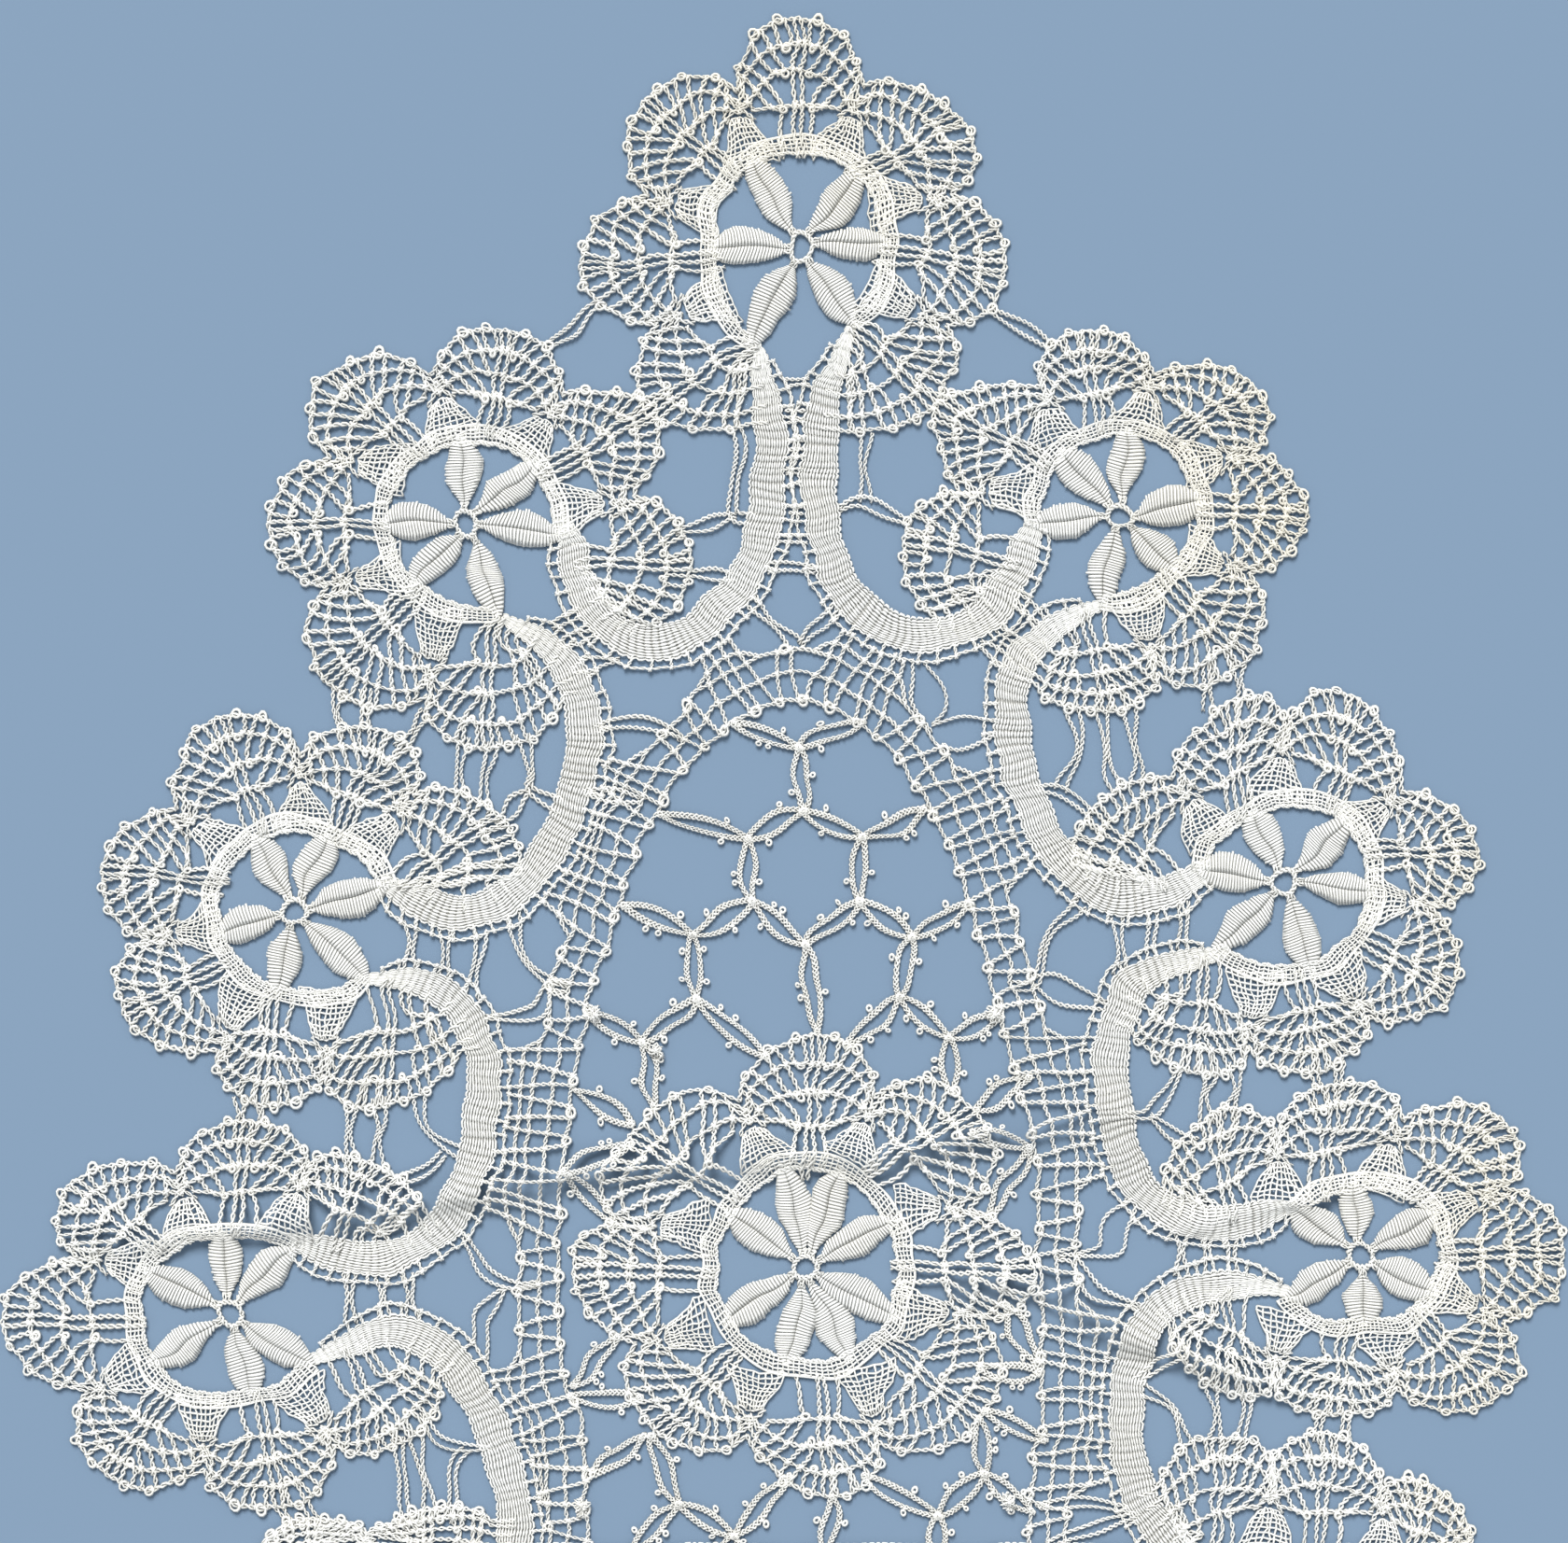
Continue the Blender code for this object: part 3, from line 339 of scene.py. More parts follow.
# %% a finish
class Finish:
    """A material, with one method that adds any node."""

    def __init__(self, name):
        self.material = bpy.data.materials.new(name)
        self.material.use_nodes = True
        self.tree = self.material.node_tree
        self.shader = self.tree.nodes["Principled BSDF"]

    def node(self, kind, settings=None, sockets=None, out=0):
        made = self.tree.nodes.new(kind)
        for name, value in (settings or {}).items():
            setattr(made, name, value)
        for name, value in (sockets or {}).items():
            self.feed(made.inputs[name], value)
        return Wire(self, made.outputs[out])

    def feed(self, socket, value):
        if isinstance(value, Wire):
            self.tree.links.new(value.socket, socket)
        else:
            socket.default_value = value

    def noise(self, size, detail):
        """A soft random value from 0 to 1, with patches of about this size in millimetres."""
        place = self.node("ShaderNodeTexCoord", out="Object")
        sockets = {"Vector": place, "Scale": 1.0 / (size * MM), "Detail": detail}
        return self.node("ShaderNodeTexNoise", {}, sockets)

    def across(self):
        """The places across and up the lace, in metres."""
        place = self.node("ShaderNodeTexCoord", out="Object")
        parts = self.node("ShaderNodeSeparateXYZ", {}, {"Vector": place})
        return parts, Wire(self, parts.socket.node.outputs["Y"])

    def mix(self, amount, first, second):
        """Two colours mixed by a value from 0 to 1."""
        return self.node("ShaderNodeMix", {"data_type": "RGBA"}, {0: amount, 6: first, 7: second}, out=2)

    def between(self, value, low, high):
        """0 below low, 1 above high, and smooth between them."""
        settings = {"interpolation_type": "SMOOTHSTEP"}
        return self.node("ShaderNodeMapRange", settings, {"Value": value, "From Min": low, "From Max": high})


# %% [markdown]
# The thread is off-white linen, dull and a little rough. It has yellowed in soft patches, more so towards
# the top and the right, where the mat was held and the light reached it. Cream is mixed in by place, and
# grey by the thread's own tone, by the painted shade that each point carries for the gaps and dips between
# threads, and by the fuzz. One plain colour would make the mat look like plastic.

# %% thread finish
WHITE = (0.87, 0.865, 0.832, 1.0)
# GREY is the colour of both the thread's own darker tone and its painted shade.
GREY = (0.50, 0.49, 0.45, 1.0)
CREAM = (0.80, 0.74, 0.60, 1.0)
FIBRE = 0.16
PATCH = 14.0


def thread_finish(name):
    """Off-white linen thread, yellowed in patches."""
    finish = Finish(name)
    tone_and_shade = finish.node("ShaderNodeAttribute", {"attribute_name": "tone_and_shade"}, out="Fac")
    fuzz = finish.noise(FIBRE, 3.0)
    patches = finish.between(finish.noise(PATCH, 2.0), 0.35, 0.7)
    x, y = finish.across()
    # Where the mat was held, on the upper right, and its aged upper and right edges.
    held = finish.between(x, 38 * MM, 64 * MM) * finish.between(y, 14 * MM, 34 * MM) * 0.5
    aged = finish.between(y, 62 * MM, 98 * MM) * 0.34 + finish.between(x, 80 * MM, 98 * MM) * 0.42
    colour = finish.mix(patches * 0.2 + held + aged, WHITE, CREAM)
    # Grey is mixed in by each point's tone and painted shade, and by the fuzz.
    colour = finish.mix(tone_and_shade * 0.25 + fuzz * 0.18, colour, GREY)
    finish.feed(finish.shader.inputs["Base Color"], colour)
    finish.feed(finish.shader.inputs["Roughness"], 0.78 + fuzz * 0.16)
    finish.shader.inputs["Specular IOR Level"].default_value = 0.25
    bump = finish.node("ShaderNodeBump", {}, {"Height": fuzz, "Strength": 0.35, "Distance": 0.06 * MM})
    finish.feed(finish.shader.inputs["Normal"], bump)
    return finish.material


linen = thread_finish("linen")
print("finish:", linen.name, "with", len(linen.node_tree.nodes), "nodes")

# %% [markdown]
# The mat has eight flowers, seven round the edge and one in the middle. They aren't quite alike, so
# the plan gives every petal its own angle and reach, as a maker would prick them. Drawing one flower
# and turning it would be shorter, but all eight would then be too regular.

# %% plan of the flowers
Ring = namedtuple("Ring", "name x y band_from band_to petals")
Petal = namedtuple("Petal", "angle reach")
Width = namedtuple("Width", "along wide")


def petals(*rows):
    return tuple(Petal(*row) for row in rows)


# Where each flower's centre is, the angles where its band starts and ends, and its petals.
RINGS = (
    Ring("top", 2.3, 74.8, -56, 243,
         petals((120, 13.0), (49, 12.4), (3, 11.0), (-56, 11.8), (-117, 13.7), (180, 11.7))),
    Ring("left_high", -43.1, 37.1, -7, 288,
         petals((94, 10.9), (40, 11.6), (-7, 11.8), (-72, 11.8), (-131, 10.4), (179, 10.7))),
    Ring("right_high", 45.5, 38.1, -102, 186,
         petals((82, 11.0), (9, 10.8), (-43, 10.0), (-102, 10.8), (-174, 10.7), (133, 10.7))),
    Ring("left_mid", -66.7, -15.7, 13, 317,
         petals((117, 10.8), (66, 10.7), (13, 12.3), (-43, 12.7), (-102, 10.4), (-164, 10.0))),
    Ring("right_mid", 68.3, -11.8, -136, 171,
         petals((116, 10.0), (44, 11.3), (-6, 11.2), (-74, 11.6), (-136, 11.9), (171, 10.8))),
    Ring("left_low", -75.6, -70.5, 46, 327,
         petals((93, 10.3), (46, 11.6), (-33, 12.3), (-74, 10.7), (-146, 12.1), (152, 11.9))),
    Ring("right_low", 78.4, -62.7, -150, 145,
         petals((96, 9.1), (28, 11.0), (-27, 10.5), (-87, 8.6), (-150, 10.7), (145, 10.4))),
    Ring("centre", 3.0, -64.3, 30, 390,
         petals((101, 13.5), (71, 13.3), (30, 12.6), (-29, 12.7),
                (-64, 13.3), (-100, 12.7), (-147, 12.4), (144, 12.2))),
)

# A petal's width along its length, both as shares.
PETAL_SHAPE = (Width(0.0, 0.12), Width(0.08, 0.36), Width(0.2, 0.66), Width(0.35, 0.9), Width(0.5, 1.0),
               Width(0.64, 0.98), Width(0.78, 0.8), Width(0.9, 0.48), Width(1.0, 0.2))


def around(ring, reach, angle):
    """Places round a flower's centre, by reach and by angle in degrees."""
    turn = np.radians(angle)
    return np.stack([ring.x + reach * np.cos(turn), ring.y + reach * np.sin(turn)], axis=-1)


print(len(RINGS), "flowers with", sum(len(ring.petals) for ring in RINGS), "petals")

# %% [markdown]
# A petal is two padded leaves with a groove between them, worked with one thread that passes from side to
# side, so each leaf shows fine ribs across it. The ribs are real threads over a thin core, a sheet in
# painted shade, which closes the leaf and shows dark in the groove and between the ribs. A smooth petal with
# painted stripes would lose the saw edge that the ribs give.

# %% core
CORE_SHADE = 2.6
CORE_FOOT = 0.05


def core(skein, rows):
    """A thin closed sheet over rows of points, in painted shade, to close the gaps between threads above it
    and show dark there.
    """
    top = np.array(rows)
    count, wide = top.shape[:2]
    low = top.copy()
    low[..., 2] = CORE_FOOT
    points = np.vstack([top.reshape(-1, 3), low.reshape(-1, 3)])
    corner = np.arange(count * wide).reshape(count, wide)
    a, b = corner[:-1, :-1].ravel(), corner[1:, :-1].ravel()
    c, d = corner[1:, 1:].ravel(), corner[:-1, 1:].ravel()
    faces = [np.column_stack([a, b, c]), np.column_stack([a, c, d])]
    faces += [face[:, ::-1] + count * wide for face in faces]
    rim = np.concatenate([corner[0, :-1], corner[:-1, -1], corner[-1, :0:-1], corner[:0:-1, 0]])
    after = np.roll(rim, -1)
    faces += [np.column_stack([rim, after, after + count * wide]),
              np.column_stack([rim, after + count * wide, rim + count * wide])]
    skein.add(points, np.vstack(faces), CORE_SHADE)


# %% leaf
PETAL_WIDTH = 5.0
PETAL_START = 2.1
PETAL_PAST = 0.9
RIB_PITCH = 0.41
RIB_OVER = np.array([0.0, 0.25, 0.7, 1.0])
RIB_LEAN = 0.22
RIB_RADIUS = 0.205
RIB_FLAT = 0.22
GROOVE = 0.03
LEAF_FOOT = 0.34
CROWN = 0.52
FULL_WIDTH = 1.9
CORE_EVERY = 4
CORE_BELOW = 0.14
CORE_LEAST = 0.12


def leaf(skein, ring, petal, side):
    """One half of a petal, on the side given by 1 or -1."""
    turn = math.radians(petal.angle)
    ahead = np.array([math.cos(turn), math.sin(turn)])
    across = np.array([-ahead[1], ahead[0]]) * side
    length = petal.reach - PETAL_START + PETAL_PAST
    start = np.array([ring.x, ring.y]) + ahead * PETAL_START
    shares = [row.along for row in PETAL_SHAPE]
    wides = [row.wide * PETAL_WIDTH / 2 for row in PETAL_SHAPE]
    tone_and_shade = rng.uniform(-0.4, 0.0)
    rise = CROWN * np.array([rng.uniform(0.55, 0.9), 1.0, 0.85, 0.2])
    count = round(length / RIB_PITCH)
    bed = []
    for k in range(count + 1):
        t = k / count
        wide = np.interp(t, shares, wides)
        outer = wide * (1.0 + rng.normal(0.0, 0.035)) + rng.uniform(-0.05, 0.06)
        along = np.outer(t * length + RIB_OVER * RIB_LEAN, ahead)
        path = start + along + np.outer(GROOVE + RIB_OVER * (outer - GROOVE), across)
        height = LEAF_FOOT + rise * min(1.0, wide / FULL_WIDTH) * (1.0 + rng.normal(0.0, 0.04))
        rib = np.column_stack([path, height])
        strand(skein, rib, RIB_RADIUS, tone_and_shade + rng.uniform(-0.2, 0.3), RIB_FLAT, edge=0.6)
        if k % CORE_EVERY == 0 or k == count:
            bed.append(np.column_stack([path, np.maximum(height - CORE_BELOW, CORE_LEAST)]))
    core(skein, bed)


print("a petal of 11 mm has", 2 * round((11.0 - PETAL_START + PETAL_PAST) / RIB_PITCH), "ribs")

# %% flower
HUB_REACH = 1.62
HUB_WAVE = 0.1
HUB_RADIUS = 0.24
HUB_SPREAD = 0.26
HUB_TURN = 1.4
HUB_HEIGHT = 0.5
ROOT_SIDE = 9.0
ROOT_REACHES = (1.6, 2.1, 2.7)


def flower(skein, ring):
    """All petals, the small hub, and two short pairs from the hub into each petal."""
    for petal in ring.petals:
        leaf(skein, ring, petal, 1)
        leaf(skein, ring, petal, -1)
    turn = np.linspace(0.0, 2 * math.pi, 25)
    hub = around(ring, HUB_REACH + HUB_WAVE * np.sin(turn * 3.0 + ring.x), np.degrees(turn))
    twisted(skein, raised(hub, HUB_HEIGHT), HUB_RADIUS, HUB_SPREAD, HUB_TURN)
    for petal in ring.petals:
        for side in (-ROOT_SIDE, ROOT_SIDE):
            root = around(ring, np.array(ROOT_REACHES), petal.angle + side)
            twisted(skein, raised(root, HUB_HEIGHT))


print("the hub is", round(2 * HUB_REACH, 1), "mm across")

# %% [markdown]
# Cloth stitch is plain weaving: threads along, threads across, each over one and under the next. One
# function weaves it between any two families of lines, so the same few lines of code make the bands
# round the flowers and the open wedges between the fans.

# %% cloth stitch
WEAVE_HEIGHT = 0.42
WEAVE_DIP = 0.1


def weave(skein, grid, along_radius, across_radius):
    """Woven threads on a grid of crossings, given as rows by threads by two."""
    rows, threads = grid.shape[:2]
    sign = 1 - 2 * ((np.arange(rows)[:, None] + np.arange(threads)[None, :]) % 2)
    for i in range(threads):
        strand(skein, np.column_stack([grid[:, i], WEAVE_HEIGHT + WEAVE_DIP * sign[:, i]]), along_radius)
    for j in range(rows):
        strand(skein, np.column_stack([grid[j], WEAVE_HEIGHT - WEAVE_DIP * sign[j]]), across_radius)


# %% [markdown]
# A narrow band of cloth stitch runs round the tips of each flower's petals. It isn't a true circle:
# it bulges where the petals are longer. A curve that eases from each petal's reach to the next gives
# that shape. The outer edge is one thicker thread, and the inner edge is a fine pair in small scallops.

# %% band round each flower
BAND_WIDTH = 2.05
BAND_THREADS = 5
BAND_PITCH = 0.66
BAND_REACH = 13.0
BAND_UNEVEN = 0.07
BAND_EDGE = 0.19
SCALLOP = 0.42
SCALLOP_PITCH = 3.3
# The radius of a pair's threads, how far they stand apart, and the length of one turn.
SCALLOP_PAIR = (0.19, 0.18, 1.3)
# The radius of woven threads, along and across.
BAND_WOVEN = (0.165, 0.16)


def band_reach(ring, angle):
    """How far the middle of the band is from the flower's centre, between its two nearest petals."""
    nearby = sorted(((petal.angle - angle) % 360, petal.reach) for petal in ring.petals)
    after = nearby[0]
    before = (nearby[-1][0] - 360, nearby[-1][1])
    t = -before[0] / (after[0] - before[0])
    return before[1] + (after[1] - before[1]) * (3 - 2 * t) * t * t + BAND_WIDTH / 2 + 0.1


def band(skein, ring):
    steps = round(math.radians(ring.band_to - ring.band_from) * BAND_REACH / BAND_PITCH)
    angles = np.linspace(ring.band_from, ring.band_to, steps)
    reach = np.array([band_reach(ring, angle) for angle in angles])
    offsets = np.linspace(-BAND_WIDTH / 2 + 0.15, BAND_WIDTH / 2 - 0.1, BAND_THREADS)
    woven = reach[:, None] + offsets[None, :]
    woven = woven + rng.normal(0.0, BAND_UNEVEN, woven.shape)
    weave(skein, around(ring, woven, angles[:, None]), *BAND_WOVEN)
    strand(skein, around(ring, reach + BAND_WIDTH / 2 + 0.05, angles), BAND_EDGE)
    scallop = SCALLOP * np.abs(np.sin(np.arange(steps) * math.pi / SCALLOP_PITCH))
    twisted(skein, around(ring, reach - BAND_WIDTH / 2 + 0.2 - scallop, angles), *SCALLOP_PAIR)


print("bands run", [round(band_reach(ring, ring.band_from), 1) for ring in RINGS], "mm from the centres")

# %% [markdown]
# Outside the band the ribs alternate, a wedge of cloth, then a spoke, then the next wedge, and each
# pair of wedges holds one scalloped fan with its spoke up the middle. Where a trail of tape meets
# the ring, the side of the trail takes the place of a wedge. A few shares could spread the ribs
# evenly, but on the real mat no two fans are the same size, so each rib has its own two ends.

# %% plan of the ribs
Rib = namedtuple("Rib", "kind foot end flat", defaults=[1.0])


def ribs(ends, *rows):
    """Ribs in turn, from a side of the kind given, by spokes and wedges, to a side of that kind again.

    A row is a foot and an end. A spoke may add how flat its fan's edge runs, where 1 is a half ellipse.
    """
    kinds = [ends] + ["spoke", "wedge"] * (len(rows) // 2)
    kinds[-1] = ends
    return tuple(Rib(kind, row[:2], row[2:4], *row[4:]) for kind, row in zip(kinds, rows))


RIBS = {
    "top": ribs(
        "trail", (-4.6, 59.5, -4.3, 50.8), (-5.2, 61.5, -18.8, 51.9, 1.3), (-8.3, 68.0, -17.3, 64.3),
        (-10.3, 73.6, -27.8, 71.9), (-9.5, 79.5, -18.6, 81.6), (-7.8, 85.2, -19.2, 94.2),
        (-4.8, 87.0, -6.6, 95.8), (1.9, 89.3, 1.9, 106.2), (7.3, 87.3, 10.7, 96.2),
        (11.0, 85.0, 23.8, 92.3), (12.8, 80.8, 22.9, 81.5), (14.8, 74.2, 30.3, 72.0),
        (12.2, 69.2, 22.3, 63.8), (10.3, 63.3, 20.5, 52.8, 1.3), (8.3, 58.5, 7.0, 50.0)),
    "left_high": ribs(
        "trail", (-26.8, 27.5, -20.3, 22.9), (-27.6, 31.5, -12.6, 31.5), (-30.5, 38.8, -20.2, 40.4),
        (-31.3, 44.3, -17.2, 53.0, 1.5), (-35.2, 47.4, -30.2, 54.3), (-39.6, 50.2, -37.8, 63.6),
        (-45.3, 49.8, -48.0, 57.2), (-50.5, 47.6, -61.6, 58.0), (-52.5, 44.5, -62.0, 46.0),
        (-55.5, 37.0, -70.3, 36.6), (-52.8, 30.5, -62.0, 28.3), (-51.0, 27.0, -62.3, 15.2),
        (-47.0, 24.5, -48.8, 13.6), (-40.0, 22.3, -40.6, 6.3), (-35.5, 21.5, -29.8, 13.5)),
    "right_high": ribs(
        "trail", (28.2, 27.0, 21.0, 24.2), (30.0, 32.0, 16.3, 35.0), (33.0, 41.3, 24.3, 41.0),
        (34.5, 45.8, 20.3, 53.3, 1.6), (36.8, 48.6, 34.9, 55.6), (43.0, 51.2, 40.8, 63.4),
        (48.3, 51.3, 50.4, 57.0), (54.0, 49.3, 63.6, 56.2), (55.5, 44.8, 63.2, 46.3),
        (57.8, 38.8, 71.0, 38.5), (55.3, 32.8, 63.4, 30.2), (52.6, 28.8, 62.5, 17.8),
        (48.3, 26.0, 50.8, 16.8), (41.6, 23.0, 44.0, 11.4), (36.8, 20.0, 34.2, 15.3)),
    "left_mid": ribs(
        "trail", (-49.5, -12.8, -38.2, -12.0), (-51.3, -11.3, -38.4, -2.6), (-57.3, -7.3, -50.2, -0.1),
        (-60.4, -4.2, -54.3, 8.9), (-65.4, -3.3, -66.0, 5.5), (-71.3, -3.2, -77.3, 10.6),
        (-76.0, -7.0, -82.5, -2.0), (-77.5, -11.8, -92.8, -9.7), (-78.0, -18.0, -86.3, -19.3),
        (-77.5, -23.5, -89.9, -29.6), (-73.3, -27.0, -77.4, -34.7), (-69.4, -28.0, -71.3, -42.3),
        (-62.0, -27.5, -62.4, -37.8), (-53.6, -27.2, -54.3, -42.4), (-47.5, -29.0, -44.2, -34.8)),
    "right_mid": ribs(
        "trail", (50.0, -12.0, 41.8, -10.3), (51.5, -11.4, 41.4, -2.2), (57.8, -5.0, 53.0, 2.2),
        (62.0, -1.4, 61.0, 12.8), (67.0, 0.6, 68.3, 8.5), (74.8, -0.6, 77.6, 13.4),
        (78.3, -4.0, 84.0, 0.8), (80.9, -8.0, 94.4, -7.3), (80.5, -14.2, 87.5, -15.0),
        (80.0, -20.5, 91.0, -26.6), (75.8, -24.0, 79.3, -30.0), (70.4, -25.4, 73.3, -37.3),
        (64.0, -25.2, 63.3, -34.4), (57.3, -24.5, 55.3, -37.6), (51.0, -26.5, 47.4, -31.3)),
    "left_low": ribs(
        "trail", (-54.5, -60.8, -48.8, -57.0), (-60.5, -59.8, -56.6, -49.6),
        (-67.3, -58.3, -65.0, -51.0), (-74.3, -58.2, -73.3, -43.9), (-80.8, -59.5, -82.8, -51.6),
        (-86.0, -60.7, -96.6, -52.6), (-88.0, -64.0, -96.0, -63.0), (-89.5, -71.6, -106.2, -71.6),
        (-88.5, -78.3, -94.8, -81.2), (-84.8, -82.3, -92.3, -92.6), (-79.0, -83.0, -79.2, -91.5),
        (-71.5, -82.8, -68.5, -97.2), (-65.5, -81.5, -61.4, -88.4), (-58.5, -78.7, -51.3, -87.6),
        (-52.0, -75.8, -47.0, -79.0)),
    "right_low": ribs(
        "trail", (56.0, -56.3, 52.0, -54.3), (60.8, -56.8, 58.0, -43.5), (67.3, -54.0, 67.4, -46.8),
        (73.6, -53.0, 74.8, -39.0), (81.0, -52.8, 84.2, -44.2), (86.5, -53.8, 97.5, -43.8),
        (89.5, -57.3, 97.8, -53.4), (90.8, -62.4, 106.4, -62.2), (89.0, -67.2, 98.0, -71.4),
        (87.0, -71.6, 96.5, -82.6), (82.3, -74.3, 83.2, -80.3), (76.3, -73.5, 74.6, -84.6),
        (68.3, -71.7, 66.6, -79.0), (60.5, -69.3, 59.3, -80.8), (55.8, -69.8, 52.4, -72.2)),
    "centre": ribs(
        "wedge", (-2.5, -49.2, -6.2, -41.6), (3.3, -50.0, 4.3, -32.5), (9.3, -48.6, 12.2, -41.4),
        (13.0, -50.3, 25.6, -42.6, 0.8), (16.3, -56.3, 25.0, -56.3), (16.8, -64.0, 34.0, -64.8),
        (16.5, -70.3, 26.3, -71.0), (14.5, -75.3, 27.0, -84.8), (11.3, -79.0, 12.8, -88.0),
        (5.0, -80.7, 6.2, -95.4), (-4.0, -79.3, -5.0, -87.2), (-7.8, -76.8, -17.3, -86.9),
        (-11.3, -72.5, -20.3, -74.8), (-12.0, -65.0, -28.8, -64.6), (-11.3, -58.8, -21.3, -58.4),
        (-8.0, -54.0, -21.0, -46.0, 0.75), (-2.5, -49.2, -6.2, -41.6)),
    "foot_left": ribs(
        "trail", (-70.3, -103.0, -70.6, -102.0), (-64.0, -103.0, -64.5, -98.2),
        (-57.0, -103.0, -56.8, -100.8), (-48.5, -103.0, -48.5, -97.1), (-39.5, -103.0, -39.8, -98.6)),
    "foot_right": ribs(
        "trail", (54.0, -103.0, 50.3, -94.8), (58.8, -102.0, 59.3, -87.2), (65.5, -102.5, 66.3, -92.8),
        (73.0, -102.0, 74.2, -86.7), (81.5, -103.0, 81.5, -94.8), (86.5, -103.0, 88.3, -93.8),
        (92.5, -104.5, 93.5, -102.2)),
}
print(sum(rib.kind == "spoke" for rows in RIBS.values() for rib in rows), "fans to make")

# %% [markdown]
# A fan beside a trail hangs on the tape itself, so the plan of the trails is needed here already.
# Each trail is a few stops along its middle. Its footing is an extra edge with slots, on one side
# only. A thread that starts on the tape starts at the nearest place on its middle, well under the
# cloth, which hides the join as a sewing does in real lace.

# %% plan of the trails
Trail = namedtuple("Trail", "name footing stops")

# The footing's side is 1 for left and -1 for right, seen along the trail.
TRAILS = (
    Trail("top_to_left", 1, (
        (-4.2, 62.2), (-2.0, 52.0), (-2.3, 40.9), (-4.2, 31.8), (-10.0, 24.3), (-16.1, 21.0),
        (-21.5, 21.5), (-26.8, 26.6), (-29.0, 34.2), (-30.4, 38.0))),
    Trail("left_high_to_mid", 1, (
        (-38.7, 24.6), (-32.8, 20.9), (-28.4, 15.0), (-27.2, 6.6), (-30.0, -3.5), (-36.0, -12.6),
        (-43.6, -16.0), (-49.6, -14.4), (-54.7, -11.8))),
    Trail("left_mid_to_low", 1, (
        (-58.3, -25.1), (-50.9, -25.2), (-44.5, -28.6), (-41.0, -36.0), (-41.6, -46.0), (-43.9, -54.6),
        (-49.8, -61.2), (-57.5, -63.0), (-67.5, -60.3))),
    Trail("left_low_to_foot", 1, (
        (-65.5, -77.6), (-58.9, -74.5), (-52.5, -72.9), (-45.8, -76.3), (-40.8, -84.2), (-37.8, -91.8),
        (-36.8, -97.5), (-36.6, -103.0))),
    Trail("top_to_right", -1, (
        (9.3, 63.9), (6.2, 56.0), (4.8, 48.0), (5.2, 38.0), (7.4, 29.6), (12.6, 23.6), (19.0, 21.8),
        (26.2, 23.8), (31.0, 29.4), (33.9, 37.2))),
    Trail("right_high_to_mid", -1, (
        (43.9, 26.4), (36.2, 22.6), (31.6, 16.6), (31.0, 9.0), (33.0, 0.4), (36.9, -7.6), (43.8, -13.3),
        (51.0, -13.4), (58.2, -9.6))),
    Trail("right_mid_to_low", -1, (
        (61.0, -21.4), (53.0, -23.0), (47.0, -26.6), (44.6, -34.0), (45.2, -44.0), (48.4, -53.2),
        (54.7, -57.6), (61.0, -58.0), (69.3, -55.8))),
    Trail("right_low_to_foot", -1, (
        (70.5, -67.8), (61.0, -66.6), (54.6, -67.8), (50.0, -70.9), (47.7, -76.2), (46.6, -83.2),
        (46.9, -89.6), (49.0, -96.6), (54.0, -103.0))),
)
TRAIL_MIDDLES = np.vstack([smooth(trail.stops, 0.3) for trail in TRAILS])
TAPE_NEAR = 4.5


def onto_tape(place):
    """The nearest place on the middle of a trail, where a thread beside it starts."""
    gap = np.linalg.norm(TRAIL_MIDDLES - place, axis=1)
    return TRAIL_MIDDLES[gap.argmin()] if gap.min() < TAPE_NEAR else place


for trail in TRAILS:
    print(trail.name, "is", round(gone_along(smooth(trail.stops))[-1]), "mm long")

# %% [markdown]
# Small stitches finish the pairs. A crossing is where two pairs meet, drawn as two short threads
# over each other. A picot is a tight loop round the place of a pin, along an edge. Both could be
# left out from a distance, but they are what gives lace its grain.

# %% small stitches
# How much each thread of a crossing is turned, and how much higher it lies.
CROSSING_LEGS = ((0.6, 0.0), (-0.6, 0.09))
PICOT_OPEN = 0.25
PICOT_POINTS = 11
TUCK_DOWN = 0.3
TUCK_LENGTH = 1.6


def crossing(skein, place, ahead, size=0.45, height=0.6, radius=0.23):
    """A stitch where two pairs cross, as two short threads over each other."""
    turn = math.atan2(ahead[1], ahead[0]) + rng.normal(0.0, 0.25)
    for tilt, rise in CROSSING_LEGS:
        step = size * np.array([math.cos(turn + tilt), math.sin(turn + tilt)])
        strand(skein, raised(np.array([place - step, place + step]), height + rise), radius)


def picot(skein, place, away, size=0.6, radius=0.3):
    """A small tight loop round the place of a pin, open towards its own pair."""
    away = np.array(away) / (np.linalg.norm(away) + 1e-9)
    across = np.array([-away[1], away[0]])
    turn = np.linspace(-PICOT_OPEN, 2 * math.pi + PICOT_OPEN, PICOT_POINTS)
    out = size * (0.1 - 1.05 * np.cos(turn))
    loop = np.asarray(place)[:2] + out[:, None] * away + (size * np.sin(turn))[:, None] * across
    strand(skein, np.column_stack([loop, BED + np.linspace(-0.05, 0.2, PICOT_POINTS)]), radius)


def tucked(path):
    """The path with its two ends going down, under what they join."""
    gone = gone_along(path)
    near = np.minimum(gone, gone[-1] - gone)
    return raised(path, BED - TUCK_DOWN * np.clip(1.0 - near / TUCK_LENGTH, 0.0, 1.0))


